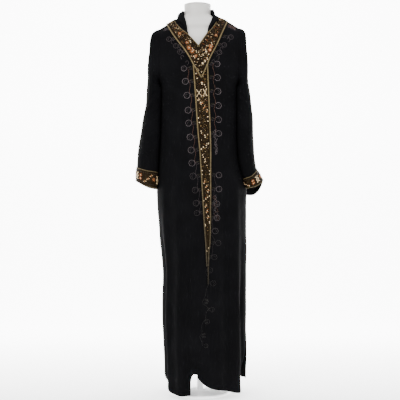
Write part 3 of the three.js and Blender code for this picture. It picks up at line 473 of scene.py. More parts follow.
# ------------------------------------------------------------ making pieces
def show(mesh, kind, *nodes):
    """A mesh as a piece that rides on the form and stands for CAD nodes, in one kind of finish."""
    piece = bpy.data.objects.new(mesh.name, mesh)
    bpy.context.scene.collection.objects.link(piece)
    mesh.materials.append(finish_of(kind))
    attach(piece, "root")
    if nodes:
        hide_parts(*nodes)
    return piece


def mesh_of(made, name):
    """The mesh of what has been made."""
    mesh = bpy.data.meshes.new(name)
    made.to_mesh(mesh)
    made.free()
    return mesh


def rounded(mesh):
    """A mesh with smooth shading."""
    mesh.polygons.foreach_set("use_smooth", np.ones(len(mesh.polygons), bool))
    mesh.update()
    return mesh


def grid(name, columns, along, place, pivot=None, tube=False, capped=False, size=(1.0, 1.0)):
    """A mesh grid whose points a function of two shares from 0 to 1 puts in place."""
    made = bmesh.new()
    made.loops.layers.uv.new("UVMap")
    bmesh.ops.create_grid(made, x_segments=columns, y_segments=along, size=0.5, calc_uvs=True)
    mesh = mesh_of(made, name)
    shares = np.empty(len(mesh.vertices) * 3)
    mesh.vertices.foreach_get("co", shares)
    shares = shares.reshape(-1, 3) + 0.5
    mesh.vertices.foreach_set("co", (place(shares[:, 0], shares[:, 1]) * MM).ravel())
    uv = np.empty(len(mesh.loops) * 2)
    mesh.uv_layers[0].data.foreach_get("uv", uv)
    uv = uv.reshape(-1, 2) * np.array(size)
    mesh.uv_layers[0].data.foreach_set("uv", uv.ravel())
    made = bmesh.new()
    made.from_mesh(mesh)
    if tube:
        bmesh.ops.remove_doubles(made, verts=made.verts, dist=WELD)
        if capped:
            bmesh.ops.holes_fill(made, edges=[e for e in made.edges if e.is_boundary], sides=0)
        bmesh.ops.recalc_face_normals(made, faces=made.faces)
    elif pivot is not None:
        middle = Vector(pivot) * MM
        facing = sum(f.normal.dot(f.calc_center_median() - middle) * f.calc_area() for f in made.faces)
        if facing < 0:
            bmesh.ops.reverse_faces(made, faces=made.faces)
    made.to_mesh(mesh)
    made.free()
    return rounded(mesh)


def facing_out(mesh, face, middle):
    """Turns a tube's faces outwards, judged by one face and a point inside the tube."""
    if face.normal.dot(face.center - Vector(middle)) < 0:
        mesh.flip_normals()


def thicken(piece, thickness, offset=-1):
    """Gives a sheet its thickness, inwards at offset -1 and outwards at 1."""
    wall = piece.modifiers.new("thickness", "SOLIDIFY")
    wall.thickness = thickness
    wall.offset = offset
    wall.use_even_offset = False


def balls(name, places):
    """One mesh of many small balls of few faces, each at its matrix."""
    made = bmesh.new()
    bmesh.ops.create_icosphere(made, subdivisions=1, radius=1)
    ball = mesh_of(made, "ball")
    corners = np.empty(len(ball.vertices) * 3)
    ball.vertices.foreach_get("co", corners)
    corners = corners.reshape(-1, 3)
    made = bmesh.new()
    for place in places:
        ball.vertices.foreach_set("co", (corners @ place[:3, :3].T + place[:3, 3]).ravel())
        made.from_mesh(ball)
    bpy.data.meshes.remove(ball)
    return rounded(mesh_of(made, name))


def settings_on(points, normals, along, radius, stretch):
    """Matrices that set small flattened things on a surface, in metres, each turned along a direction."""
    normals = unit(normals)
    across = unit(np.cross(normals, along))
    along = np.cross(across, normals)
    radius = np.broadcast_to(radius, len(points))
    out = []
    for point, n, a, t, r in zip(points, normals, across, along, radius):
        m = np.eye(4)
        m[:3, 0], m[:3, 1], m[:3, 2] = a * r, t * r * stretch, n * r * BEAD_HEIGHT
        m[:3, 3] = point + n * r * BEAD_HEIGHT * (1 - BEAD_SINK)
        m[:3, :] *= MM
        out.append(m)
    return out


def twisted_cord(name, path, normals, radius, closed=False, pitch=9.0):
    """Mesh of a cord of twisted plies along a route."""
    joined = np.hstack([path, normals])
    if closed:
        joined = np.vstack([joined, joined[:1]])
    run = distances(joined[:, :3])
    length = run[-1]
    turns = max(1, round(length / pitch))

    def read(at):
        return read_line(joined, run, at % length if closed else np.clip(at, 0, length))

    def place(u, v):
        at = v * length
        here = read(at)
        along = unit(read(at + 1.2)[:, :3] - read(at - 1.2)[:, :3])
        up = unit(here[:, 3:])
        across = unit(np.cross(along, up))
        up = np.cross(across, along)
        turn = 2 * np.pi * u
        lobe = np.abs(np.cos(CORD_PLIES / 2 * (turn - 2 * np.pi * turns * v)))
        reach = radius * (1 - CORD_GROOVE + CORD_GROOVE * np.sqrt(lobe))
        if not closed:
            reach = reach * np.sqrt(np.clip(np.minimum(at, length - at) / (0.8 * radius) + 0.04, 0, 1))
        return here[:, :3] + across * (reach * np.cos(turn))[:, None] + up * (reach * np.sin(turn))[:, None]

    return grid(name, CORD_SIDES, int(length / CORD_STEP), place, tube=True, capped=not closed,
                size=(radius * 6.28 * MM, length * MM))


def lathe(name, profile, x=0, y=0):
    """A turned piece from its profile of radius and height."""
    made = bmesh.new()
    line = [made.verts.new((x * MM + r * MM, y * MM, z * MM)) for r, z in profile]
    edges = [made.edges.new(pair) for pair in zip(line, line[1:])]
    bmesh.ops.spin(made, geom=line + edges, cent=(x * MM, y * MM, 0), axis=(0, 0, 1), angle=math.tau,
                   steps=LATHE_STEPS, use_merge=True)
    bmesh.ops.remove_doubles(made, verts=made.verts, dist=WELD / 4)
    bmesh.ops.recalc_face_normals(made, faces=made.faces)
    mesh = rounded(mesh_of(made, name))
    mesh.set_sharp_from_angle(angle=math.radians(40))
    return mesh


# ------------------------------------------------------------ finishes
class Value:
    """A shader value that takes part in Python expressions."""

    def __init__(self, finish, socket):
        self.finish, self.socket = finish, socket

    def _with(self, operation, *terms):
        return self.finish.node("ShaderNodeMath", dict(enumerate(terms)), operation=operation)

    def __add__(self, other):
        return self._with("ADD", self, other)

    def __sub__(self, other):
        return self._with("SUBTRACT", self, other)

    def __mul__(self, other):
        return self._with("MULTIPLY", self, other)

    def __pow__(self, other):
        return self._with("POWER", self, other)

    __radd__ = __add__
    __rmul__ = __mul__

    def wave(self):
        """Between 0 and 1, up and down with the sine."""
        return self._with("SINE", self) * 0.5 + 0.5

    def sine(self):
        return self._with("SINE", self)


class Finish:
    """A material in the making; every node comes from one method."""

    def __init__(self, name, **constants):
        self.material = bpy.data.materials.new(name)
        self.material.use_nodes = True
        self.tree = self.material.node_tree
        self.shader = self.tree.nodes["Principled BSDF"]
        for socket, value in constants.items():
            self.shader.inputs[socket.replace("_", " ")].default_value = value

    def node(self, kind, inputs, output=0, **settings):
        made = self.tree.nodes.new(kind)
        for name, value in settings.items():
            setattr(made, name, value)
        for name, value in inputs.items():
            if isinstance(value, Value):
                self.tree.links.new(value.socket, made.inputs[name])
            else:
                made.inputs[name].default_value = value
        return Value(self, made.outputs[output])

    def place(self):
        return self.node("ShaderNodeTexCoord", {}, "Object")

    def along(self, axis):
        """One coordinate of a place."""
        return self.node("ShaderNodeSeparateXYZ", {0: self.place()}, axis)

    def surface(self, axis):
        """One coordinate on the unrolled surface."""
        return self.node("ShaderNodeSeparateXYZ", {0: self.node("ShaderNodeTexCoord", {}, "UV")}, axis)

    def noise(self, scale, detail, rough):
        return self.node("ShaderNodeTexNoise", {"Vector": self.place(), "Scale": scale, "Detail": detail,
                                                "Roughness": rough})

    def cells(self, scale):
        """A chance number for each small cell."""
        cell = self.node("ShaderNodeTexVoronoi", {"Vector": self.place(), "Scale": scale}, "Color")
        return self.node("ShaderNodeSeparateColor", {0: cell})

    def ramp(self, value, low, high, start=0.0, end=1.0):
        return self.node("ShaderNodeMapRange", {"Value": value, "From Min": low, "From Max": high,
                                                "To Min": start, "To Max": end}, clamp=True)

    def colour(self, share, first, second):
        return self.node("ShaderNodeMix", {0: share, 6: first, 7: second}, 2, data_type="RGBA")

    def feed(self, **inputs):
        """Links values to inputs of the shader."""
        for socket, value in inputs.items():
            self.tree.links.new(value.socket, self.shader.inputs[socket.replace("_", " ")])

    def bump(self, height, distance, strength):
        self.feed(Normal=self.node("ShaderNodeBump", {"Height": height, "Distance": distance,
                                                      "Strength": strength}))


def rgba(colour, factor=1.0):
    """A colour property as four numbers, made lighter or darker."""
    return (*[min(1, c * factor) for c in colour], 1)


def grey(level):
    """A grey as four numbers."""
    return level, level, level, 1


def painted_hem_shade(finish, tone, share):
    """A colour with painted shade that darkens it towards the hem, where less light falls."""
    return finish.colour(finish.ramp(finish.along("Z"), 0.45, 1.1, share, 0.0), tone, grey(0.003))


def crepe(colours):
    """Matt black crepe: pebbled yarns, a faint sheen, paler where it has rubbed."""
    finish = Finish("black_crepe", Sheen_Weight=0.002, Sheen_Roughness=0.55, Specular_IOR_Level=0.02)
    pebble = finish.noise(1500, 3, 0.65)
    rubbed = finish.noise(9, 3, 0.6)
    lint = finish.noise(420, 1, 0.5)
    shade = finish.ramp(pebble, 0.3, 0.75) * 0.55 + finish.ramp(rubbed, 0.42, 0.72) * 0.45
    finish.feed(Base_Color=finish.colour(shade, rgba(colours.crepe, 0.7), rgba(colours.crepe, 1.7)),
                Roughness=finish.ramp(lint, 0.3, 0.7, 0.78, 0.93))
    finish.bump(pebble + 0.5 * lint, 0.0004, 0.55)
    return finish.material


def band_ground(colours):
    """Dark brown ground with patches of couched gold thread, fewer towards the neck."""
    finish = Finish("beaded_band", Specular_IOR_Level=0.04)
    across, along = finish.surface("X"), finish.surface("Y")
    rib = ((along + 0.35 * across) * 4200).wave()
    wave = (across * 700 + (along * 260).sine() * 2.2).wave() ** 3
    patches = finish.ramp(finish.noise(150, 3, 0.65), 0.44, 0.68)
    fewer = finish.ramp(finish.along("Z"), 1.1, 1.3, 1.0, 0.3)
    gold = finish.ramp(wave * 0.5 + patches * 0.8, 0.3, 1.1) * fewer
    ground = finish.colour(finish.ramp(rib, 0.2, 0.9), rgba(colours.band, 0.4), rgba(colours.band, 1.6))
    finish.feed(Base_Color=finish.colour(gold * 0.32, ground, rgba(colours.gold, 0.6)),
                Roughness=finish.ramp(gold, 0, 1, 0.8, 0.5), Metallic=gold * 0.3)
    finish.bump(rib * 0.5 + gold, 0.0005, 0.6)
    return finish.material


def gold_cord(colours):
    """Antique gold thread wrapped into a cord, with painted shade in the grooves between its windings, a
    painted highlight on them, and painted shade towards the hem.
    """
    finish = Finish("gold_piping", Specular_IOR_Level=0.12)
    across, along = finish.surface("X"), finish.surface("Y")
    # Stripes along the windings: painted shade in the grooves and a painted highlight on the ridges; the same
    # stripes drive the bump.
    winding_and_groove_shade = ((along - across * 0.6) * 9000).wave()
    worn = finish.ramp(finish.noise(130, 3, 0.6), 0.35, 0.7)
    tone = finish.colour(worn, rgba(colours.gold, 0.5), rgba(colours.gold, 1.15))
    # Painted shade darkens the cord towards the hem, where less light falls.
    finish.feed(Base_Color=painted_hem_shade(finish, finish.colour(winding_and_groove_shade * 0.35, tone, rgba(colours.gold, 1.6)), 0.9),
                Roughness=finish.ramp(worn, 0, 1, 0.62, 0.4))
    finish.bump(winding_and_groove_shade, 0.0002, 0.5)
    return finish.material


def bead(name, colour, metal, roughness):
    """Small glossy beads, each a little different."""
    finish = Finish(name, Metallic=metal, Coat_Weight=0.08, Specular_IOR_Level=0.2)
    tint = finish.cells(330)
    finish.feed(Base_Color=finish.colour(tint, rgba(colour, 0.55), rgba(colour, 1.2)),
                Roughness=finish.ramp(tint, 0, 1, roughness * 0.7, roughness * 1.4))
    return finish.material


def thread(name, colour):
    """Dull embroidery thread with a fine twist, darkened towards the hem by painted shade."""
    finish = Finish(name, Sheen_Weight=0.03, Specular_IOR_Level=0.15)
    twist = finish.noise(1900, 2, 0.6)
    patch = finish.noise(60, 2, 0.5)
    shade = finish.ramp(twist, 0.3, 0.7) * 0.5 + finish.ramp(patch, 0.35, 0.65) * 0.5
    tone = finish.colour(shade, rgba(colour, 0.5), rgba(colour, 1.35))
    # Painted shade: the thread's colour darkens towards the hem, where less light falls.
    finish.feed(Base_Color=painted_hem_shade(finish, tone, 0.85), Roughness=finish.ramp(twist, 0, 1, 0.55, 0.8))
    finish.bump(twist, 0.0002, 0.5)
    return finish.material


def form_plastic(colours):
    """Smooth satin off-white plastic with faint handling marks."""
    finish = Finish("form_plastic", Coat_Weight=0.15)
    cloud = finish.noise(16, 4, 0.55)
    marks = finish.noise(240, 3, 0.7)
    shade = finish.ramp(cloud, 0.3, 0.7)
    finish.feed(Base_Color=finish.colour(shade, rgba(colours.plastic, 0.95), rgba(colours.plastic, 1.03)),
                Roughness=finish.ramp(marks + cloud, 0.7, 1.3, 0.32, 0.5))
    finish.bump(marks, 0.0002, 0.12)
    return finish.material


def glowing_stand_enamel(colours):
    """White enamelled steel with a slight orange peel and scuffs, made to glow white by painted light though
    it is no lamp.
    """
    # The emission is a painted white glow that keeps the pole and base pure white under the cloth.
    finish = Finish("stand_metal", Coat_Weight=0.3, Emission_Strength=0.5)
    peel = finish.noise(380, 2, 0.5)
    scuff = finish.ramp(finish.noise(34, 5, 0.7), 0.6, 0.72)
    finish.feed(Base_Color=finish.colour(scuff, rgba(colours.enamel), rgba(colours.enamel, 0.82)),
                Roughness=finish.ramp(scuff, 0, 1, 0.28, 0.5))
    finish.bump(peel, 0.0002, 0.25)
    return finish.material


def studio_paper(colours):
    """Plain white paper, lit from behind where it rises."""
    finish = Finish("studio_paper", Roughness=0.9, Emission_Strength=6.0)
    grain = finish.ramp(finish.noise(90, 2, 0.5), 0.3, 0.7)
    lit = finish.colour(finish.ramp(finish.along("Y"), -0.3, 1.3), grey(0.14), grey(1))
    finish.feed(Base_Color=finish.colour(grain, rgba(colours.paper, 0.99), rgba(colours.paper)),
                Emission_Color=lit)
    return finish.material


# Each kind of finish: the part's material slot, and the function that makes it.
FINISHES = {
    "crepe": ("black_crepe", crepe),
    "band": ("beaded_band", band_ground),
    "cord": ("gold_piping", gold_cord),
    "cream": ("gold_beads", lambda c: bead("cream_beads", c.cream, 0.0, 0.25)),
    "golden": ("gold_beads", lambda c: bead("gold_beads", c.golden, 0.7, 0.3)),
    "copper": ("gold_beads", lambda c: bead("copper_beads", c.copper, 0.4, 0.32)),
    "umber": ("gold_beads", lambda c: bead("umber_beads", c.umber, 0.2, 0.4)),
    "mauve": ("thread_embroidery", lambda c: thread("mauve_thread", c.mauve)),
    "dusk": ("thread_embroidery", lambda c: thread("dusk_thread", c.dusk)),
    "olive": ("thread_embroidery", lambda c: thread("olive_thread", c.olive)),
    "bronze": ("thread_embroidery", lambda c: thread("bronze_thread", c.bronze)),
    "plastic": ("form_plastic", form_plastic),
    "enamel": ("stand_metal", glowing_stand_enamel),
    "paper": (None, studio_paper),
}
made_finishes = {}


def finish_of(kind):
    """A finish, made the first time that it is asked for."""
    if kind not in made_finishes:
        made_finishes[kind] = FINISHES[kind][1](bpy.context.scene.kaftan_colours)
    return made_finishes[kind]


# ------------------------------------------------------------ cloth of the body
def panel_rows(v):
    """Levels of a panel's rows up to the join to the neck, and shares of the way above it."""
    return np.minimum(v / BODY_SHARE, 1) * NECK_JOIN, np.maximum(0, (v - BODY_SHARE) / NECK_SHARE)


def hem_turn(z, hem):
    """How far the turned hem stands proud of the cloth."""
    near = smooth((HEM_TURN["height"] - (z - hem)) / HEM_TURN["edge"])
    return HEM_TURN["out"] * near * (z < HEM_JOIN + HEM_TURN["zone"])


def front_place(side):
    """Puts the points of one front in place: across from the opening, up from the hem."""
    def place(u, v):
        level, above = panel_rows(v)

        def angle(z):
            return mix(front_edge(z, side, FRONT_LAP), side_angle(z, side, "front"), u)

        def hem(z):
            return hem_z[side](section(z, angle(z))[0])

        z = np.where(above > 0, mix(NECK_JOIN, NECK_EDGE[side], above), level)
        z = np.where(above > 0, z, hem_level(z, hem(z)))
        return cloth(z, angle(z), hem_turn(z, hem(z)))
    return place


def back_place(u, v):
    """Puts the points of the back in place: across from the left seam, up from the hem."""
    level, above = panel_rows(v)
    z = np.where(above > 0, mix(NECK_JOIN, back_edge(180 * u), above), level)
    angle = mix(side_angle(z, "left", "back"), side_angle(z, "right", "back"), u)
    hem = hem_z["back"](section(z, angle)[0])
    z = np.where(above > 0, z, hem_level(z, hem))
    return cloth(z, angle, hem_turn(z, hem))


# ------------------------------------------------------------ cloth of the sleeves
def cling(angle):
    """How far the inner wall of a sleeve follows the round of the body."""
    return np.where(np.cos(angle) < 0, CLING * np.sin(2 * angle) ** 2, 0)


def turn_ring(row, side, angle):
    """Ring of a sleeve's head, turned about the underarm."""
    turn = math.radians(row["turn"])
    s = np.sin(angle)
    across = (1 + np.cos(angle)) / 2
    start = UNDERARM_GAP if row["root"] else 0
    level = ARMHOLE["z"] + row[side] * across
    wide = np.maximum(half_width[side](level), ARMHOLE[side])
    depth = np.where(s > 0, half_depth["front"](level), half_depth["back"](level))
    hole = depth * (1 - (ARMHOLE[side] / wide) ** (2 / ROUNDNESS)) ** (ROUNDNESS / 2)
    even = UPPER_DEPTH * np.abs(s) ** SLEEVE_FULLNESS
    settled = smooth(row["turn"] / 60)
    deep = np.where(np.abs(s) < 1e-6, 0, mix(hole, even, settled))
    out = mix(start, row[side] * math.sin(turn), across) - smooth(row["turn"] / 48) * cling(angle)
    return np.stack([SIGN[side] * (ARMHOLE[side] + SEAM / 2 + out), np.where(s > 0, -deep, deep),
                     ARMHOLE["z"] + mix(-row["root"], row[side] * math.cos(turn), across)], axis=-1)


def hang_ring(row, side, angle, part):
    """Ring of a sleeve where it hangs."""
    s = np.sin(angle)
    across = (1 + np.cos(angle)) / 2
    wave = 1 + SLEEVE_RIPPLE["height"] * part * np.sin(SLEEVE_RIPPLE["waves"] * angle) / row["depth"]
    slant = np.where(s > 0, row["front"], row["back"]) * np.abs(s)
    return np.stack([SIGN[side] * (mix(row["inner"], row["outer"], across) - cling(angle)),
                     -np.sign(s) * row["depth"] * wave * np.abs(s) ** SLEEVE_FULLNESS,
                     mix(row["innerZ"], row["outerZ"], across) + slant], axis=-1)


class Sleeve:
    """The surface of one sleeve: round by angle, down by ring."""

    def __init__(self, side):
        self.side = side
        self.turn = np.linspace(0, 2 * np.pi, 240, endpoint=False)
        hanging = SLEEVE[side]
        rings = [turn_ring(row, side, self.turn) for row in SHOULDER_TURN]
        rings += [hang_ring(row, side, self.turn, i / len(hanging)) for i, row in enumerate(hanging)]
        self.last = len(rings) - 1
        self.read = monotone(np.arange(len(rings)), np.array(rings))

    def plain(self, ring, u):
        """Points before the creases, u is the share of the way round."""
        ring, u = np.broadcast_arrays(np.asarray(ring, float), np.asarray(u, float))
        rows_there = np.unique(ring)
        at = self.read(rows_there)
        k = (u % 1.0) * len(self.turn)
        low = np.floor(k).astype(int) % len(self.turn)
        high = (low + 1) % len(self.turn)
        share = (k - np.floor(k))[..., None]
        i = np.searchsorted(rows_there, ring)
        return at[i, low] * (1 - share) + at[i, high] * share

    def normal(self, ring, u):
        """Outward normals."""
        around = self.plain(ring, u + 0.004) - self.plain(ring, u - 0.004)
        down = self.plain(np.minimum(ring + 0.05, self.last), u) - self.plain(np.maximum(ring - 0.05, 0), u)
        return unit(np.cross(around, down)) * SIGN[self.side]

    def before(self, ring, u, distance):
        """The ring a distance up the sleeve from another one."""
        step = np.linalg.norm(self.plain(ring, u) - self.plain(np.asarray(ring) - 1, u), axis=-1)
        return ring - distance / step

    def place(self, ring, u, out=0.0):
        """Points with their creases, moved out along the normal."""
        point = self.plain(ring, u)
        normal = self.normal(ring, u)
        z, degrees = point[..., 2], np.asarray(u) % 1.0 * 360
        lift = np.zeros_like(z)
        for crease in SLEEVE_CREASES:
            away = (degrees - crease["angle"] + 180) % 360 - 180
            line = crease["z"] + crease["slope"] * away + 5 * np.sin(away / 17)
            beside = ((z - line) / crease["width"]) ** 2 + (away / crease["spread"]) ** 2
            lift += crease["rise"] * np.exp(-beside)
        lift += 0.8 * np.sin(degrees * 0.09 + z * 0.017) * np.sin(z * 0.043)
        lift *= smooth((np.asarray(ring) - CREASE_FADE["ring"]) / 4) * smooth((z - CREASE_FADE["z"]) / 50)
        lift *= smooth((np.abs(degrees - 180) - CREASE_FADE["degrees"]) / 30)
        return point + normal * (lift + out)[..., None]

    def middle(self, ring):
        """The middle of a ring, in metres."""
        return self.plain(np.full(60, float(ring)), np.linspace(0, 1, 60)).mean(axis=0) * MM

    def nearest(self, x, z):
        """Ring and share round the front of the sleeve at a distance across and a level."""
        hanging = np.linspace(len(SHOULDER_TURN) - 1, self.last, 400)
        ring, u = np.meshgrid(hanging, np.linspace(0.02, 0.48, 200))
        point = self.plain(ring.ravel(), u.ravel())
        found = [np.argmin((point[:, 0] - a) ** 2 + (point[:, 2] - b) ** 2) for a, b in zip(x, z)]
        return ring.ravel()[found], u.ravel()[found]


# ------------------------------------------------------------ cloth of the hood
def neckline_point(part):
    """The neck edge from the right of the V round the back to the left of the V."""
    share = HOOD_FOOT["share"]
    lift = LIFT + TRIM + LIFT

    def beside(side, up):
        z = mix(HOOD_FOOT[side], NECK_EDGE[side], up / share)
        return cloth(z, angle_at(z, neck_x[side](z), "front"), lift)

    round_back = np.clip((part - share) / (1 - 2 * share), 0, 1)
    angle = mix(HOOD_FOOT["first"], HOOD_FOOT["last"], round_back)
    behind = cloth(back_edge(angle) - HOOD_FOOT["below"], angle, lift)
    left = np.where((part > 1 - share)[:, None], beside("left", 1 - part), behind)
    return np.where((part < share)[:, None], beside("right", part), left)


hood_top = monotone([r["part"] for r in HOOD_STAND], [[r["x"], r["y"], r["z"]] for r in HOOD_STAND])
hood_fall = monotone([r["part"] for r in HOOD_FALL],
                     [[r["x"], r["z"], r["out"], r["edgeX"], r["edgeZ"], r["edgeOut"]] for r in HOOD_FALL])


def behind_garment(x, z, out):
    """Distance from front to back of a place behind the back of the garment."""
    level = np.minimum(z, NECK_EDGE["back"])
    return cloth(level, angle_at(level, x, "back"))[:, 1] + out


def before_garment(x, z, out):
    """Distance from front to back of a place before the front of the garment."""
    level = np.minimum(z, FRONT_TOP)
    return cloth(level, angle_at(level, x, "front"))[:, 1] - out


def hood_rails(part):
    """Rows of points of the hood: its seam, the roll, the crown of the fall and the free edge."""
    foot = neckline_point(part)
    top = hood_top(part)
    x, z, out, edge_x, edge_z, edge_out = hood_fall(part).T
    away = foot - np.array([NECK["x"], NECK["y"], 0])
    away[:, 2] = 0
    away = unit(away)
    rise = np.array([0, 0, 1.0])
    behind = smooth((top[:, 1] + 30) / 60)
    fall_y = np.where(part > 0, mix(before_garment(x, z, out), behind_garment(x, z, out), behind), 0)
    edge_y = mix(before_garment(edge_x, edge_z, edge_out), behind_garment(edge_x, edge_z, edge_out), behind)
    crown = np.stack([x, fall_y, z], axis=-1)
    edge = np.stack([edge_x, edge_y, edge_z], axis=-1)
    size = np.minimum(1, np.linalg.norm(crown - top, axis=1) / 60)[:, None]
    push = mix(-2, 14, smooth((top[:, :1] + 60) / 110)) * size
    roll = top + away * 0.5 * push + rise * 1.5 * size
    over = top + away * push - rise * 9 * size
    stepped = (smooth((part - 0.23) / 0.09) * smooth((0.56 - part) / 0.16))[:, None]
    stand = []
    for row in HOOD_STEP:
        share = row["share"]
        point = mix(foot, top, mix(share, row["inwards"], stepped))
        point[:, 2:] = mix(foot[:, 2:], top[:, 2:], mix(share, row["up"], stepped))
        puff = 3 * math.sin(math.pi * share) * np.sin(np.pi * part)[:, None] * (1 - stepped)
        stand.append(point + away * puff)
    inner = []
    for share, sideways, hug in ((0.22, 0.08, 0.8), (0.48, 0.42, 0.85), (0.74, 0.76, 0.9)):
        p = mix(over, crown, share)
        p[:, 0] = mix(over[:, 0], crown[:, 0], mix(sideways, share, smooth((part - 0.55) / 0.1)))
        near = behind_garment(p[:, 0], p[:, 2], HOOD_CLEAR + 1.5)
        p[:, 1] = mix(p[:, 1], np.maximum(near, 0), hug * behind * smooth((1490 - p[:, 2]) / 30))
        inner.append(p)
    outer = []
    for share, full in ((0.3, 9), (0.65, 12)):
        p = mix(crown, edge, share)
        p[:, 1] += full * behind * size[:, 0]
        outer.append(p)
    return [foot, *stand, top, roll, over, *inner, crown, *outer, edge]


def hood_place(u, v):
    """Puts the points of the hood in place: across round the neck, up from its seam."""
    parts = np.unique(np.round(u, 6))
    rails = np.array(hood_rails(parts))
    step = np.linalg.norm(np.diff(rails, axis=0), axis=2).mean(axis=1)
    at = np.concatenate([[0], np.cumsum(np.maximum(step, 4))])
    read = monotone(at / at[-1], rails)
    levels = np.unique(np.round(v, 6))
    table = read(levels)
    point = table[np.searchsorted(levels, np.round(v, 6)), np.searchsorted(parts, np.round(u, 6))]
    bag = smooth((u - 0.3) / 0.1) * smooth((0.78 - u) / 0.1)
    late = smooth((v - 0.62) / 0.15)
    gather = np.sin(u * 61 + 1.5 * np.sin(v * 9)) * 2.2 + np.sin(u * 117 + 2 + v * 5) * 1.0
    point[:, 1] += bag * late * (gather * smooth((v - 0.7) / 0.3) + 1.6 * np.sin(v * 34 + u * 9))
    point[:, 2] += bag * late * 2.0 * np.sin(u * 47) * smooth((v - 0.9) / 0.1)
    stand = smooth((0.2 - v) / 0.1)
    point[:, 0] += stand * smooth(v / 0.04) * 0.7 * np.sin(point[:, 2] * 0.21 + u * 30)
    return point


# ------------------------------------------------------------ bands
class Band:
    """A strip on the front, read by length along it and distance from its middle line."""

    def __init__(self, low, high, start, end):
        z = np.linspace(low, high, 260)
        first, last = angle_at(z, start(z), "front"), angle_at(z, end(z), "front")
        middle = (first + last) / 2
        point = cloth(z, middle, GROUND_TOP)
        self.run = distances(point)
        along = unit(np.gradient(point, axis=0))
        step = cloth(z, middle + 0.5, GROUND_TOP) - cloth(z, middle - 0.5, GROUND_TOP)
        self.mm_per_degree = np.linalg.norm(step, axis=1)
        cosine = np.sum(unit(step) * along, axis=1)
        self.sine = np.sqrt(1 - cosine ** 2)
        self.slant = cosine / self.sine
        self.z, self.middle = z, middle
        self.half = np.abs(last - first) / 2 * self.mm_per_degree * self.sine
        self.length = self.run[-1]

    def _read(self, column, at):
        return np.interp(at, self.run, column)

    def half_width(self, at):
        """Half the width of the strip at a length along it."""
        return self._read(self.half, at)

    def place(self, along, off):
        """Points and normals, off is to the wearer's left of the middle line."""
        along, off = np.broadcast_arrays(np.asarray(along, float), np.asarray(off, float))
        shifted = np.clip(along - off * self._read(self.slant, along), 0, self.length)
        z = self._read(self.z, shifted)
        mm_per_degree = self._read(self.sine, shifted) * self._read(self.mm_per_degree, shifted)
        angle = self._read(self.middle, shifted) + off / mm_per_degree
        return cloth(z, angle, GROUND_TOP), cloth_normal(z, angle)


def neck_inner(side):
    """Inner edge of an arm of the V by level."""
    return lambda z: np.where(z <= OPENING_TOP, opening_x(z), neck_x[side](z)) + SIGN[side] * SEAM / 2


def neck_outer(side):
    """Outer edge of an arm of the V by level, which stays on the front."""
    def edge(z):
        x = arm_x[side](z)
        return np.sign(x) * np.minimum(np.abs(x), half_width[side](z) - 0.4)
    return edge


bands = {
    "right": Band(BAND_TOP + 1, ARM_BAND_TOP["right"], neck_outer("right"), neck_inner("right")),
    "left": Band(BAND_TOP + 1, ARM_BAND_TOP["left"], neck_inner("left"), neck_outer("left")),
    "centre": Band(BAND_BOTTOM, BAND_TOP, centre_x["right"], centre_x["left"]),
}


def strip_place(low, high, start, end):
    """Puts a strip of the front in place between two edges."""
    def place(u, v):
        z = mix(low, high, v)
        angle = mix(angle_at(z, start(z), "front"), angle_at(z, end(z), "front"), u)
        return cloth(z, angle, GROUND_TOP)
    return place


def back_band_place(u, v):
    """Puts the band behind the neck in place."""
    angle = mix(BACK_BAND["ends"], 180 - BACK_BAND["ends"], u)
    height = mix(BACK_BAND["side"], BACK_BAND["middle"], np.sin(np.radians(angle)) ** 2)
    return cloth(back_edge(angle) - height * (1 - v), angle, BACK_BAND["lift"] + TRIM)


def point_edge(side, up):
    """Edge of the point of the V, a share of the way up to the top of the centre band."""
    return mix(V_POINT["x"], centre_x[side](BAND_TOP), up)


def arm_point_place(u, v):
    """Puts the point of the V in place, where its arms cross over the centre band."""
    z = mix(V_POINT["z"], BAND_TOP, v)
    x = mix(point_edge("right", v) - V_POINT["overlap"], point_edge("left", v) + V_POINT["overlap"], u)
    return cloth(z, angle_at(z, x, "front"), GROUND_TOP + TRIM)


# ------------------------------------------------------------ beadwork
class Beadwork:
    """Collects beads of several kinds, laid on a surface, and makes them pieces."""

    def __init__(self):
        self.kinds = {}

    def lay(self, kind, surface, places, radius, stretch=1.0, along=None):
        """Beads at places of a surface, a function from two numbers to points and normals."""
        places = np.asarray(places, float)
        point, normal = surface(places[:, 0], places[:, 1])
        if along is None:
            along = np.tile([0.0, 0.0, 1.0], (len(point), 1))
        else:
            ahead, _ = surface(places[:, 0] + along[:, 0] * 0.01, places[:, 1] + along[:, 1] * 0.01)
            along = ahead - point
        self.kinds.setdefault(kind, []).extend(settings_on(point, normal, along, radius, stretch=stretch))

    def line(self, kind, surface, path, step, radius, closed=False, stretch=1.0):
        """Beads in a row along a line of points."""
        places, direction = resampled(path, step, closed)
        self.lay(kind, surface, places, radius, stretch, direction)

    def flower(self, surface, centre, radius, petals, petal_kind, middle_kind):
        """A flower of oval petals round a bead."""
        turn = np.arange(petals) * 2 * np.pi / petals
        direction = np.stack([np.cos(turn), np.sin(turn)], axis=-1)
        self.lay(petal_kind, surface, np.asarray(centre) + direction * radius, radius * 0.42, 1.6, direction)
        self.lay(middle_kind, surface, [centre], radius * 0.4)

    def pieces(self, group, side=""):
        """Makes one piece of the beads of each kind."""
        for kind, places in self.kinds.items():
            show(balls(f"kaftan_{group}_{kind}{side}", places), kind)


def crossed_square(work, surface, along, off, high, wide):
    """Two crossed rows of cream beads between two upright golden ones."""
    h, w = high / 2, wide / 2
    corners = [(along - h, off - w), (along + h, off - w), (along + h, off + w), (along - h, off + w)]
    for start, end in ((0, 2), (1, 3)):
        work.line("cream", surface, [corners[start], corners[end]], 2.9, 1.4)
    for start, end in ((0, 1), (3, 2)):
        work.line("golden", surface, [corners[start], corners[end]], 3.2, 1.1)
    work.lay("cream", surface, corners, 1.9)


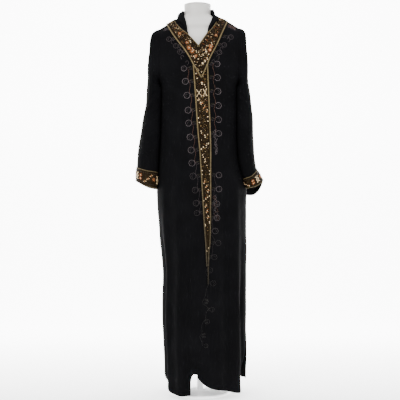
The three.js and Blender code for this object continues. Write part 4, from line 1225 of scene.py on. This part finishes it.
def chain(work, surface, low, high, reach, way):
    """A slanting flight of copper ovals, each among two cream and two gold beads."""
    for part in np.linspace(0, 1, max(3, int((high - low) / 11))):
        at = (mix(low, high, part), mix(-reach, reach, part) * way)
        work.lay("copper", surface, [at], 2.3, 1.3, np.array([[1.0, 0.3 * way]]))
        work.lay("cream", surface, [(at[0] + 4.4, at[1] + 0.8), (at[0] - 3.6, at[1] - 2.6)], 1.7)
        work.lay("golden", surface, [(at[0], at[1] - 4.4), (at[0] + 1, at[1] + 4.4)], 1.5)


def scatter(work, band, low, high, seed, share, weights, margin=4.6):
    """Beads of mixed kind, size and direction, strewn close together along a band."""
    spare = random.Random(seed)
    laid = {}
    along = low
    while along < high:
        reach = float(band.half_width(along)) - margin
        count = int(reach * 2 / BEAD_PITCH["off"])
        for i in range(count):
            if spare.random() > share:
                continue
            kind = spare.choices(("cream", "golden", "copper", "umber"), weights)[0]
            turn = spare.uniform(0, math.pi)
            size = spare.uniform(0.8, 1.25) * (1.35 if spare.random() < 0.16 else 1)
            at = along + spare.uniform(-1.7, 1.7)
            off = mix(-reach, reach, (i + 0.5) / count) + spare.uniform(-1.3, 1.3)
            longness = spare.uniform(1, 2.1)
            laid.setdefault(kind, []).append((at, off, math.cos(turn), math.sin(turn), size, longness))
        along += BEAD_PITCH["along"]
    for kind, beads in laid.items():
        beads = np.array(beads)
        longish = beads[:, 5] > 1.5
        for stretch, some in ((1.15, beads[~longish]), (1.8, beads[longish])):
            if len(some):
                work.lay(kind, band.place, some[:, :2], some[:, 4], stretch, some[:, 2:4])


# Pattern of the centre band: frames with crossed diagonals, slanting chains and bright pairs of beads.
CENTRE_FRAMES = rows("z off high wide", (1177, -12, 25, 15), (1178, 10, 25, 13))
CENTRE_CHAINS = rows("z0 z1 way", (1152, 1106, -1), (833, 800, -1), (741, 698, -1))
BRIGHT = rows(
    "x0 z0 x1 z1 kind radius",
    (-15, 1250, -11, 1232, "cream", 1.9), (6, 1216, 8, 1210, "cream", 2.1),
    (17, 1208, 21, 1199, "cream", 1.7), (29, 1085, 30, 1068, "cream", 1.7),
    (-6, 1080, -2, 1063, "cream", 1.7), (4, 1030, 6, 1022, "cream", 1.6), (18, 1014, 20, 1006, "cream", 1.7),
    (24, 975, 32, 983, "cream", 1.9), (5, 961, 13, 968, "cream", 1.9), (10, 938, 13, 930, "cream", 1.5),
    (19, 922, 20, 914, "cream", 1.5), (8, 1137, 14, 1118, "copper", 2.0),
    (24, 1113, 27, 1103, "golden", 1.9), (-4, 1150, 2, 1140, "cream", 1.7), (19, 671, 20, 666, "cream", 1.6),
    (36, 682, 37, 677, "cream", 1.5), (28, 898, 29, 889, "golden", 1.5), (6, 882, 7, 893, "golden", 1.5),
    (8, 878, 8, 863, "cream", 1.6), (36, 877, 37, 864, "cream", 1.5), (36, 780, 29, 775, "cream", 1.6),
    (22, 769, 14, 762, "cream", 1.6), (33, 581, 26, 569, "cream", 1.5), (21, 1345, 23, 1338, "cream", 2.0),
    (25, 1336, 33, 1326, "cream", 1.9), (19, 1302, 20, 1298, "cream", 2.0),
    (9, 1292, 11, 1289, "cream", 2.0), (27, 1312, 29, 1306, "cream", 1.7),
    (-29, 1350, -24, 1343, "cream", 1.6), (-38, 1380, -36, 1374, "cream", 1.7),
    (-24, 1318, -20, 1312, "cream", 1.7), (44, 1372, 46, 1366, "cream", 1.7),
)
# The pairs are laid larger than their kind, to catch the light.
BRIGHT_SCALE = 1.35
# Copper blooms of the V: place and reach.
BLOOMS = rows("x z reach", (-42, 1352, 6), (-30, 1338, 6), (-50, 1374, 4.5), (42, 1358, 6), (38, 1344, 5),
              (-16, 1320, 4), (62, 1404, 4), (-78, 1412, 4.5))
# Beads strewn where the arms of the V meet: the corners of the place, and how many.
JUNCTION = {"x": (-9, 14), "z": (1298, 1344), "count": 46}
# Beads strewn over the point of the V: how many, and half the width at its top.
POINT_BEADS = {"count": 44, "half": 20}


def on_band(x, z):
    """A point on the face of the bands of the front."""
    x, z = np.broadcast_arrays(np.asarray(x, float), np.asarray(z, float))
    up = (z - V_POINT["z"]) / (BAND_TOP - V_POINT["z"])
    over = (z < BAND_TOP) & (x > point_edge("right", up)) & (x < point_edge("left", up))
    angle = angle_at(z, x, "front")
    return cloth(z, angle, GROUND_TOP + np.where(over, TRIM, 0)), cloth_normal(z, angle)


def centre_beads(work):
    """Beadwork of the centre band, thinner and darker towards its point."""
    band = bands["centre"]

    def run_at(z):
        return float(np.interp(z, band.z, band.run))

    scatter(work, band, run_at(940), band.length - 4, 11, 0.5, (9, 34, 9, 48))
    scatter(work, band, run_at(700), run_at(938), 12, 0.4, (7, 26, 6, 61))
    scatter(work, band, 8, run_at(698), 13, 0.36, (7, 25, 6, 62))
    for row in CENTRE_CHAINS:
        low, high = run_at(row["z1"]), run_at(row["z0"])
        reach = float(band.half_width((low + high) / 2)) - 6.5
        chain(work, band.place, low, high, reach, row["way"])
    for row in CENTRE_FRAMES:
        crossed_square(work, band.place, run_at(row["z"]), row["off"], row["high"], row["wide"])


def arm_beads(work, side, seed):
    """Beadwork of one arm of the V."""
    band = bands[side]
    scatter(work, band, 5, band.length - 4, seed, 0.64, (15, 28, 14, 43), 5.2)


def bright_beads(work):
    """The pairs that catch the light, the copper blooms, and what is strewn where the bands meet."""
    for row in BRIGHT:
        pair = [(row["x0"], row["z0"]), (row["x1"], row["z1"])]
        work.lay(row["kind"], on_band, pair, row["radius"] * BRIGHT_SCALE)
    for row in BLOOMS:
        work.flower(on_band, (row["x"], row["z"]), row["reach"], 6, "copper", "cream")
    spare = random.Random(31)
    for i in range(JUNCTION["count"]):
        work.lay(spare.choice(("golden", "golden", "cream", "umber", "umber")), on_band,
                 [(spare.uniform(*JUNCTION["x"]), spare.uniform(*JUNCTION["z"]))], spare.uniform(1.0, 1.7))
    for i in range(POINT_BEADS["count"]):
        down = math.sqrt(spare.random())
        z = mix(V_POINT["z"] + 4, BAND_TOP - 2, down)
        half = POINT_BEADS["half"] * down
        work.lay(spare.choice(("golden", "cream", "umber", "umber")), on_band,
                 [(mix(V_POINT["x"], 1.5, down) + spare.uniform(-half, half), z)], spare.uniform(0.9, 1.4))


# ------------------------------------------------------------ embroidery
# Two twined stems beside the centre band: levels, swing and threads.
TWINED = rows("low high swing threads", (942, 1034, 4.5, ("dusk", "mauve")),
              (688, 782, 6.5, ("bronze", "mauve")))
# Curls beside the V: place, and which way they wind.
V_CURLS = rows("x z way", (-104, 1382, 1), (-84, 1350, -1), (-66, 1318, 1), (-52, 1296, -1), (108, 1392, -1),
               (86, 1352, 1), (66, 1318, -1), (54, 1300, 1))
# Sprigs across the shoulders: the side, how far below the first, and the thread.
SHOULDER_SPRIGS = rows("side drop kind", (1, 0, "bronze"), (1, 6, "bronze"), (1, 12, "dusk"), (-1, 8, "dusk"),
                       (-1, 14, "dusk"))
# Scrolls above the cuffs: place, and which way they wind.
CUFF_SCROLLS = {
    "right": rows("x z way", (-230, 912, 1), (-208, 906, -1), (-192, 914, 1)),
    "left": rows("x z way", (208, 906, 1), (192, 900, -1)),
}


def ring_stitches(work, row, kind):
    """A thin scalloped ring, whole or open towards the band, with a short curl in it."""
    x, z, radius = row["x"], row["z"], row["radius"]
    inwards = -1 if x > 20 else 1
    first, last = (0.7, 2 * math.pi - 0.7) if row["open"] else (0, 2 * math.pi * 0.985)
    turn = np.linspace(first, last, 60)
    reach = radius * (0.78 + 0.09 * np.abs(np.sin(turn * 3.5)))
    work.line(kind, on_front, curl(x, z, turn, reach, inwards), 2.2, 0.95, stretch=1.35)
    within = curl(x, z, np.linspace(1.2, 4.4, 12), radius * 0.36, inwards)
    work.line("dusk", on_front, within, 2.2, 0.8, stretch=1.3)


def vine_stitches(work, row, edge):
    """The stem that ties a ring to the band, with a small leaf on each side."""
    way = 1 if edge > row["x"] else -1
    start = row["x"] + way * (row["radius"] * 0.85)
    share = np.linspace(0, 1, 16)
    sway = 5 * np.sin(share * math.pi * 1.6) * (1 - share * 0.4)
    stem = pairs(mix(start, edge - way * 7, share), row["z"] + sway)
    if abs(stem[-1, 0] - stem[0, 0]) < 5:
        return
    work.line("dusk", on_front, stem, 2.4, 0.85, stretch=1.3)
    leaf = stem[9]
    arc = np.linspace(0, math.pi, 8)
    for bend, kind in ((1, "olive"), (-1, "dusk")):
        blade = pairs(leaf[0] - way * 4.5 * np.cos(arc), leaf[1] + bend * (2.6 + 3.2 * np.sin(arc)))
        work.line(kind, on_front, blade, 2.4, 0.75, stretch=1.4)


def band_edge(z, side):
    """Edge of the centre band or the V on one side, by level."""
    if z > BAND_TOP:
        return float(arm_x[side](z))
    if z > BAND_BOTTOM:
        return float(centre_x[side](z))
    return float(opening_x(z))


def sprig(work, path, step, radius, kind, leaves):
    """A dotted curl with small leaves beside it."""
    work.line(kind, on_front, path, step, radius, stretch=1.3)
    for i in np.linspace(1, len(path) - 2, leaves).astype(int):
        ahead = path[i + 1] - path[i - 1]
        side = np.array([-ahead[1], ahead[0]]) / max(1e-6, np.hypot(*ahead)) * (1 if i % 2 else -1)
        spot = path[i] + side * 4.2
        work.lay("dusk" if i % 2 else kind, on_front, [spot], 1.2, 2.0, np.array([side + ahead * 0.1]))


def front_embroidery(work):
    """Rings down both sides of the opening, the stems between, and the close vines on the left."""
    previous = {}
    for row in RINGS:
        side = "left" if row["x"] > band_edge(row["z"], "left") - 4 else "right"
        kind = "mauve" if 1300 > row["z"] > (860 if side == "right" else 640) else "dusk"
        ring_stitches(work, row, kind)
        vine_stitches(work, row, band_edge(row["z"], side))
        last = previous.get(side)
        if last is not None and 0 < last["z"] - row["z"] < 70 and row["z"] < 1310:
            share = np.linspace(0, 1, 14)
            aside = -SIGN[side] * (14 + 3 * np.sin(share * 2 * math.pi))
            link = pairs(mix(last["x"], row["x"], share) + aside, mix(last["z"], row["z"], share))
            work.line("bronze" if row["z"] > 900 else "dusk", on_front, link, 2.6, 0.9, stretch=1.25)
        previous[side] = row
    share = np.linspace(0, 1, 60)
    for row in TWINED:
        for phase, kind in zip((0, math.pi), row["threads"]):
            bend = row["swing"] * np.sin(share * 6 * math.pi + phase)
            stem = pairs(mix(64, 56, share) + bend, mix(row["low"], row["high"], share))
            sprig(work, stem, 2.5, 0.95, kind, 9)
    turn = np.linspace(0, 4.4, 18)
    for row in V_CURLS:
        work.line("dusk", on_front, curl(row["x"], row["z"], turn, 2 + 2.0 * turn, row["way"]), 2.3, 0.85,
                  stretch=1.3)
    for row in SHOULDER_SPRIGS:
        z = mix(1454, 1444, share) - row["drop"] + 2.5 * np.sin(share * 16 + row["drop"])
        sprig(work, pairs(row["side"] * mix(112, 140, share), z), 2.4, 1.15, row["kind"], 8)


def sleeve_embroidery(work, side):
    """Scrolls just above a cuff, on the front of the sleeve."""
    sleeve = Sleeve(side)

    def surface(x, z):
        ring, u = sleeve.nearest(x, z)
        return sleeve.place(ring, u, 0.2), sleeve.normal(ring, u)

    turn = np.linspace(0, 5.2, 26)
    for row in CUFF_SCROLLS[side]:
        scroll = curl(row["x"], row["z"], turn, 3.5 + 1.9 * turn, row["way"])
        work.line("dusk", surface, scroll, 2.6, 0.9, stretch=1.3)


# ------------------------------------------------------------ settings
def colour_setting(name, text, value):
    """A colour that the panel shows."""
    return bpy.props.FloatVectorProperty(name=name, description=text, subtype="COLOR", size=3, min=0, max=1,
                                         default=value)


def length_setting(name, text, value):
    """A length that the panel shows."""
    return bpy.props.FloatProperty(name=name, description=text, default=value, unit="LENGTH")


class KaftanColours(bpy.types.PropertyGroup):
    """Colours of the cloth, trims and form."""

    crepe: colour_setting("Crepe", "Cloth of the kaftan", (0.0024, 0.0024, 0.0028))
    band: colour_setting("Band ground", "Ground of the beaded bands", (0.007, 0.0038, 0.0014))
    gold: colour_setting("Gold thread", "Piping and couched thread", (0.115, 0.086, 0.04))
    cream: colour_setting("Cream beads", "Bright beads and frames", (0.8, 0.62, 0.38))
    golden: colour_setting("Gold beads", "Fillings", (0.24, 0.15, 0.055))
    copper: colour_setting("Copper beads", "Petals and slanting chains", (0.3, 0.1, 0.03))
    umber: colour_setting("Umber beads", "Dark fillings", (0.012, 0.0065, 0.003))
    mauve: colour_setting("Mauve thread", "Embroidered rings", (0.1, 0.082, 0.086))
    dusk: colour_setting("Dusky thread", "Stems, leaves and the faint rings", (0.042, 0.032, 0.034))
    olive: colour_setting("Olive thread", "Small leaves", (0.06, 0.052, 0.026))
    bronze: colour_setting("Bronze thread", "Vines", (0.085, 0.04, 0.028))
    plastic: colour_setting("Form", "Plastic of the dress form", (0.5, 0.485, 0.46))
    enamel: colour_setting("Stand", "Enamel of the pole and base", (0.95, 0.95, 0.95))
    paper: colour_setting("Studio", "Floor and backdrop", (0.97, 0.97, 0.97))


class KaftanSizes(bpy.types.PropertyGroup):
    """Sizes that a maker would change."""

    cloth: length_setting("Cloth", "Thickness of the cloth", 0.0016)
    trim: length_setting("Band", "Thickness of the bands", 0.0015)
    cord: length_setting("Piping radius", "Radius of the piping", CORD * MM)
    lens: bpy.props.FloatProperty(name="Lens", description="Focal length of the camera in millimetres",
                                  default=74.25)
    camera_distance: length_setting("Camera distance", "From the middle of the kaftan", 3.3)
    camera_height: length_setting("Camera height", "Above the floor", 0.765)


def sizes():
    """The sizes that the panel shows."""
    return bpy.context.scene.kaftan_sizes


# ------------------------------------------------------------ one operator for each group of pieces
class KaftanOperator:
    """What every operator of this kaftan shares."""

    bl_options = {"REGISTER", "UNDO"}

    def execute(self, context):
        self.make(context)
        return {"FINISHED"}


class KAFTAN_OT_dress_form(KaftanOperator, bpy.types.Operator):
    """Makes the torso, neck, cap, pole and base that the kaftan is worn on"""

    bl_idname = "kaftan.dress_form"
    bl_label = "Dress form"

    def ring(self, z, turns):
        """Ring of the torso, inside the cloth."""
        x, y, nx, ny = section(z, turns)
        up = np.stack(section(z + 1, turns)[:2], axis=-1) - np.stack(section(z - 1, turns)[:2], axis=-1)
        flat = np.stack([-ny, nx, np.zeros_like(nx)], axis=-1)
        normal = unit(np.cross(flat, np.concatenate([up, np.full((len(up), 1), 2.0)], axis=1)))
        point = np.stack([x, y, z], axis=-1) - normal * (FORM["clear"] + form_inset(z))[:, None]
        beside = FORM["beside"]
        point[:, 0] = np.clip(point[:, 0], beside - ARMHOLE["right"], ARMHOLE["left"] - beside)
        point[:, 2] = np.maximum(point[:, 2], FORM_BOTTOM + 1.0)
        return point

    def torso(self):
        """Mesh of the torso and neck."""
        turns = np.linspace(0, 360, FORM["columns"] + 1)
        across, deep = np.cos(np.radians(turns)), np.sin(np.radians(turns))
        levels = np.concatenate([np.linspace(FORM_BOTTOM, 1460, 120), [1469, 1478]])
        rings = [self.ring(np.full(len(turns), z), turns) for z in levels]
        for row in FORM_NECK:
            radius = NECK["radius"] - row["less"]
            z = np.full(len(turns), float(row["z"]))
            rings.append(np.stack([NECK["x"] + radius * across, NECK["y"] + radius * deep, z], axis=-1))
        shoulder = mix(rings[-4], rings[-3], 0.62)
        shoulder[:, 2] = FORM["shoulder"]
        rings.insert(-3, shoulder)
        levels = np.concatenate([levels, [FORM["shoulder"]], [row["z"] for row in FORM_NECK]])
        read = monotone(levels, np.array(rings))

        def place(u, v):
            v = np.round(v, 6)
            shares = np.unique(v)
            table = read(FORM_BOTTOM + (NECK["top"] - FORM_BOTTOM) * shares ** 0.85)
            return table[np.searchsorted(shares, v), np.round(u * FORM["columns"]).astype(int)]

        mesh = grid("dress_form_torso", FORM["columns"] // 2, 260, place, tube=True, capped=True)
        mesh.set_sharp_from_angle(angle=math.radians(55))
        return mesh

    def make(self, context):
        show(self.torso(), "plastic", "form_torso")
        top, wide = NECK["top"], NECK["radius"] + 0.5
        rim = [(wide - 0.4, 0.3), (wide, 0.8), (wide, 3.0), (wide - 0.5, 3.8), (wide - 1.6, 4.4),
               (wide - 12, 5.6), (wide - 30, 6.7)]
        profile = [(0, 0.3), *rim, (0, 7)]
        cap = lathe("dress_form_cap", [(r, top + z) for r, z in profile], NECK["x"], NECK["y"])
        show(cap, "plastic", "form_cap")
        floor, socket = BASE["height"] + SEAM, FORM_BOTTOM - SEAM
        groove, depth = POLE_GROOVE["z"], POLE_GROOVE["depth"]
        pole = lathe("dress_form_pole", [
            (0, floor), (POLE - 0.4, floor), (POLE, floor + 0.4),
            (POLE, groove - 2), (POLE - depth, groove - 1), (POLE - depth, groove + 1), (POLE, groove + 2),
            (POLE, socket - 0.4), (POLE - 0.4, socket), (0, socket),
        ])
        show(pole, "enamel", "form_pole")
        r, h, c = BASE["radius"], BASE["height"], BASE["chamfer"]
        curved = [(r - c + c * math.sin(a), h - c + c * math.cos(a)) for a in np.linspace(math.pi / 2, 0, 6)]
        profile = [(0, 0), (r - 1, 0), (r, 1), *curved, (POLE + BASE["collar"], h), (0, h)]
        base = lathe("dress_form_base", profile)
        show(base, "enamel", "form_base")


class KAFTAN_OT_body(KaftanOperator, bpy.types.Operator):
    """Makes the two fronts and the back"""

    bl_idname = "kaftan.body"
    bl_label = "Fronts and back"

    def make(self, context):
        centre = (NECK["x"], 0, 700)
        for side, area in (("right", 0.335), ("left", 0.315)):
            piece = show(grid(f"kaftan_front_{side}", 80, 260, front_place(side), pivot=centre), "crepe",
                         f"front_{side}")
            thicken(piece, sizes().cloth)
        piece = show(grid("kaftan_back", 150, 230, back_place, pivot=centre), "crepe", "back")
        thicken(piece, sizes().cloth)


class KAFTAN_OT_sleeves(KaftanOperator, bpy.types.Operator):
    """Makes the two hanging sleeves"""

    bl_idname = "kaftan.sleeves"
    bl_label = "Sleeves"

    def make(self, context):
        for side, area in (("right", 0.182), ("left", 0.172)):
            sleeve = Sleeve(side)

            def place(u, v, sleeve=sleeve):
                return sleeve.place(v * sleeve.last, u)

            mesh = grid(f"kaftan_sleeve_{side}", 128, 150, place, tube=True)
            piece = show(mesh, "crepe", f"sleeve_{side}")
            middle = sleeve.middle(len(SHOULDER_TURN) + 1)
            facing_out(mesh, min(mesh.polygons, key=lambda face: abs(face.center.z - middle[2])), middle)
            thicken(piece, sizes().cloth)


class KAFTAN_OT_hood(KaftanOperator, bpy.types.Operator):
    """Makes the hood, standing round the neck and fallen down the back"""

    bl_idname = "kaftan.hood"
    bl_label = "Hood"

    def make(self, context):
        mesh = grid("kaftan_hood", 160, 130, hood_place, pivot=(NECK["x"], NECK["y"], 1500))
        piece = show(mesh, "crepe", "hood_stand", "hood_bag")
        thicken(piece, sizes().cloth, offset=1)


class KAFTAN_OT_bands(KaftanOperator, bpy.types.Operator):
    """Makes the beaded bands of the V, the back of the neck and the opening"""

    bl_idname = "kaftan.bands"
    bl_label = "Neck and centre bands"

    def make(self, context):
        centre = (NECK["x"], 0, 1200)
        for side, area in (("right", 0.0101), ("left", 0.0115)):
            place = strip_place(BAND_TOP + SEAM / 2, NECK_EDGE[side], neck_inner(side), neck_outer(side))
            mesh = grid(f"kaftan_neck_band_{side}", 24, 150, place, pivot=centre, size=(0.055, 0.23))
            piece = show(mesh, "band", f"neck_band_{side}")
            thicken(piece, sizes().trim)
        place = strip_place(BAND_BOTTOM, BAND_TOP - SEAM, centre_x["right"], centre_x["left"])
        mesh = grid("kaftan_centre_band", 24, 360, place, pivot=centre, size=(0.05, 0.72))
        piece = show(mesh, "band", "centre_band")
        thicken(piece, sizes().trim)
        mesh = grid("kaftan_neck_band_back", 120, 20, back_band_place, pivot=(NECK["x"], 0, 1440),
                    size=(0.28, 0.045))
        piece = show(mesh, "band", "neck_band_back")
        thicken(piece, sizes().trim)
        mesh = grid("kaftan_neck_band_point", 16, 24, arm_point_place, pivot=centre, size=(0.05, 0.05))
        piece = show(mesh, "band")
        thicken(piece, POINT_THICKNESS)


class KAFTAN_OT_cuffs(KaftanOperator, bpy.types.Operator):
    """Makes the cuff bands with their piping and beads"""

    bl_idname = "kaftan.cuffs"
    bl_label = "Cuff bands"

    def make(self, context):
        for side, area in (("right", 0.0224), ("left", 0.0172)):
            sleeve = Sleeve(side)
            top = sleeve.last - CUFF_ROWS

            def place(u, v, sleeve=sleeve, top=top):
                low = sleeve.before(np.full(len(u), float(sleeve.last)), u, CUFF["stop"])
                return sleeve.place(mix(low, top, v), u, CUFF["lift"] + CUFF["thick"])

            mesh = grid(f"kaftan_cuff_band_{side}", 160, 20, place, tube=True, size=(0.5, 0.05))
            piece = show(mesh, "band", f"cuff_band_{side}")
            first_x = mesh.vertices[0].co.x
            facing_out(mesh, min(mesh.polygons, key=lambda face: abs(face.center.x - first_x)),
                       sleeve.middle(sleeve.last - 1))
            thicken(piece, CUFF["thick"] * MM)
            self.piping(side, sleeve, "top", top, CUFF["cordAbove"])
            self.piping(side, sleeve, "bottom", sleeve.last, CUFF["cordStop"])
            self.beads(side, sleeve)

    def piping(self, side, sleeve, edge, start, distance):
        """Cord round a cuff along one edge of its band."""
        u = np.linspace(0, 1, 240, endpoint=False)
        ring = sleeve.before(np.full(240, float(start)), u, distance)
        route = sleeve.place(ring, u, CUFF["cordLift"] + CUFF["cord"])
        cord = twisted_cord(f"kaftan_cuff_piping_{edge}_{side}", route, sleeve.normal(ring, u), CUFF["cord"],
                            closed=True, pitch=6.0)
        show(cord, "cord", f"cuff_piping_{edge}_{side}")

    def beads(self, side, sleeve):
        """Crossed squares, chains and flowers round a cuff, between two dark rows."""
        work = Beadwork()
        shares = np.linspace(0, 1, 361)
        run = distances(sleeve.plain(np.full(361, sleeve.last - 1.0), shares))

        def surface(along, off):
            u = np.interp(np.asarray(along) % run[-1], run, shares)
            ring = sleeve.last - 1.06 - np.asarray(off) / CUFF["perRing"]
            return sleeve.place(ring, u, CUFF["lift"] + CUFF["thick"]), sleeve.normal(ring, u)

        at = np.linspace(0, run[-1], 240, endpoint=False)
        for off in (CUFF["rowOff"], CUFF["lowRowOff"]):
            work.line("umber", surface, pairs(at, float(off)), 2.8, 1.05, closed=True)
        count = max(6, int(run[-1] / 46))
        pitch = run[-1] / count
        for i in range(count):
            start = i * pitch
            if i % 2:
                for off in (-6.8, 6.8):
                    crossed_square(work, surface, start + pitch * 0.3, off, 11.5, 11.5)
                for off in (6.5, -6.5):
                    work.flower(surface, (start + pitch * 0.72, off), 4.2, 5, "copper", "cream")
            else:
                chain(work, surface, start + pitch * 0.12, start + pitch * 0.62, 12, 1 if i % 4 else -1)
                work.flower(surface, (start + pitch * 0.86, 0), 4.6, 6, "copper", "golden")
        work.pieces("cuff_beads", f"_{side}")


class KAFTAN_OT_piping(KaftanOperator, bpy.types.Operator):
    """Makes the twisted gold piping along the bands"""

    bl_idname = "kaftan.piping"
    bl_label = "Piping"

    def lay(self, name, routes, radius, *nodes, pitch=9.0):
        """One cord along one or two routes of points and normals."""
        path, normal = (np.vstack(parts) for parts in zip(*routes))
        show(twisted_cord(name, path, normal, radius, pitch=pitch), "cord", *nodes)

    def route(self, z, x, out=LIFT):
        """Points and normals of a cord that lies on the front."""
        return on_front(x, z, out + CORD)

    def make(self, context):
        radius = sizes().cord / MM
        beside = CORD + SEAM
        centre_z = np.linspace(PIPING_MEET, BAND_TOP - 2, 300)
        over_z = np.linspace(V_POINT["z"], BAND_TOP - 3, 26)
        up = (over_z - V_POINT["z"]) / (BAND_TOP - V_POINT["z"])
        for side, rise in (("right", 0.2), ("left", 1.2)):
            away = SIGN[side] * beside
            self.lay(f"kaftan_piping_centre_{side}", [self.route(centre_z, centre_x[side](centre_z) + away)],
                     radius, f"piping_centre_{side}")
            over_x = mix(V_POINT["x"], centre_x[side](BAND_TOP) + away, up)
            arm_z = np.linspace(BAND_TOP, ARM_PIPING_TOP[side], 160)
            self.lay(f"kaftan_piping_neck_{side}", [self.route(over_z, over_x, GROUND_TOP + TRIM + rise),
                                                    self.route(arm_z, neck_outer(side)(arm_z) + away)],
                     radius, f"piping_neck_{side}")
            rim_z = np.linspace(RIM["low"], RIM[side], 110)
            rim_x = neck_x[side](rim_z) + SIGN[side] * RIM["beside"]
            self.lay(f"kaftan_piping_rim_{side}", [self.route(rim_z, rim_x, GROUND_TOP - CORD + RIM["lift"])],
                     RIM["radius"], pitch=5.0)
        edge_z = np.linspace(FRONT_EDGE_PIPING["low"], PIPING_MEET - 1, 60)
        self.lay("kaftan_piping_front_edge", [self.route(edge_z, opening_x(edge_z) + beside)],
                 radius * FRONT_EDGE_PIPING["thinner"], "piping_front_edge")


class KAFTAN_OT_beadwork(KaftanOperator, bpy.types.Operator):
    """Sews the beads on the bands of the V and the opening"""

    bl_idname = "kaftan.beadwork"
    bl_label = "Beadwork"

    def make(self, context):
        work = Beadwork()
        centre_beads(work)
        arm_beads(work, "right", 21)
        arm_beads(work, "left", 22)
        bright_beads(work)

        def behind(angle, share):
            return back_band_place(angle / 180, share), cloth_normal(back_edge(angle) - 20, angle)

        for kind, share in (("cream", 0.9), ("golden", 0.1)):
            work.lay(kind, behind, [(angle, share) for angle in np.linspace(6, 174, 84)], 1.0)
        spots = [(math.degrees(turn), share) for turn in np.linspace(0.2, 2.94, 24) for share in (0.3, 0.72)]
        work.lay("copper", behind, spots, 1.7)
        work.pieces("band_beads")


class KAFTAN_OT_embroidery(KaftanOperator, bpy.types.Operator):
    """Embroiders the rings, stems and scrolls on the crepe"""

    bl_idname = "kaftan.embroidery"
    bl_label = "Embroidery"

    def make(self, context):
        work = Beadwork()
        front_embroidery(work)
        sleeve_embroidery(work, "right")
        sleeve_embroidery(work, "left")
        work.pieces("embroidery")


class KAFTAN_OT_studio(KaftanOperator, bpy.types.Operator):
    """Sets up the floor, the backdrop, the lights and the camera"""

    bl_idname = "kaftan.studio"
    bl_label = "Studio"

    def make(self, context):
        self.sweep(context)
        self.lights(context)
        data = bpy.data.cameras.new("camera")
        data.lens, data.sensor_width = sizes().lens, 36
        camera = bpy.data.objects.new("camera", data)
        camera.location = (0, -sizes().camera_distance, sizes().camera_height)
        camera.rotation_euler = (math.pi / 2, 0, 0)
        context.scene.collection.objects.link(camera)
        context.scene.camera = camera

    def sweep(self, context):
        """A floor that bends up into a backdrop."""
        flat, bend = SWEEP["flat"], SWEEP["bend"]

        def place(u, v):
            run = v * SWEEP["length"] - SWEEP["before"]
            turned = np.clip((run - flat) / bend, 0, None)
            turn = np.minimum(turned, math.pi / 2)
            y = np.minimum(run, flat) + bend * np.sin(turn)
            z = bend * (1 - np.cos(turn)) + np.maximum(0, turned - math.pi / 2) * bend
            return np.stack([(u - 0.5) * SWEEP["width"], y, z - SWEEP["below"]], axis=-1)

        mesh = grid("studio_floor", 4, 90, place, pivot=(0, -2000, -5000))
        floor = bpy.data.objects.new("studio_floor", mesh)
        context.scene.collection.objects.link(floor)
        mesh.materials.append(finish_of("paper"))

    def lights(self, context):
        """A bright even sky, and round lamps aimed at the kaftan and the backdrop."""
        world = bpy.data.worlds.new("studio")
        context.scene.world = world
        world.use_nodes = True
        sky = world.node_tree.nodes["Background"].inputs
        sky[0].default_value = (1, 1, 1, 1)
        sky[1].default_value = 1.25
        for row in LAMPS:
            data = bpy.data.lights.new(row["name"], "AREA")
            data.shape, data.size, data.energy = "DISK", row["size"], row["power"]
            lamp = bpy.data.objects.new(row["name"], data)
            lamp.location = row["place"]
            aim = Vector(row["aim"]) - Vector(row["place"])
            lamp.rotation_euler = aim.to_track_quat("-Z", "Y").to_euler()
            context.scene.collection.objects.link(lamp)


OPERATORS = (KAFTAN_OT_dress_form, KAFTAN_OT_body, KAFTAN_OT_sleeves, KAFTAN_OT_hood, KAFTAN_OT_bands,
             KAFTAN_OT_cuffs, KAFTAN_OT_piping, KAFTAN_OT_beadwork, KAFTAN_OT_embroidery, KAFTAN_OT_studio)


class KAFTAN_PT_panel(bpy.types.Panel):
    """Lists the pieces, sizes and colours of the kaftan"""

    bl_idname = "KAFTAN_PT_panel"
    bl_label = "Kaftan"
    bl_space_type = "VIEW_3D"
    bl_region_type = "UI"
    bl_category = "Kaftan"

    def draw(self, context):
        for group in (context.scene.kaftan_sizes, context.scene.kaftan_colours):
            box = self.layout.box()
            for name in group.__annotations__:
                box.prop(group, name)
        for operator in OPERATORS:
            self.layout.operator(operator.bl_idname)


def register():
    """Registers the settings, operators and panel."""
    for kind in (KaftanSizes, KaftanColours, *OPERATORS, KAFTAN_PT_panel):
        bpy.utils.register_class(kind)
    bpy.types.Scene.kaftan_sizes = bpy.props.PointerProperty(type=KaftanSizes)
    bpy.types.Scene.kaftan_colours = bpy.props.PointerProperty(type=KaftanColours)


def unregister():
    """Removes them again."""
    del bpy.types.Scene.kaftan_colours
    del bpy.types.Scene.kaftan_sizes
    for kind in reversed((KaftanSizes, KaftanColours, *OPERATORS, KAFTAN_PT_panel)):
        bpy.utils.unregister_class(kind)


def main():
    """Builds the kaftan and its studio."""
    register()
    for operator in OPERATORS:
        getattr(bpy.ops.kaftan, operator.bl_idname.split(".")[1])()


if __name__ == "__main__":
    main()
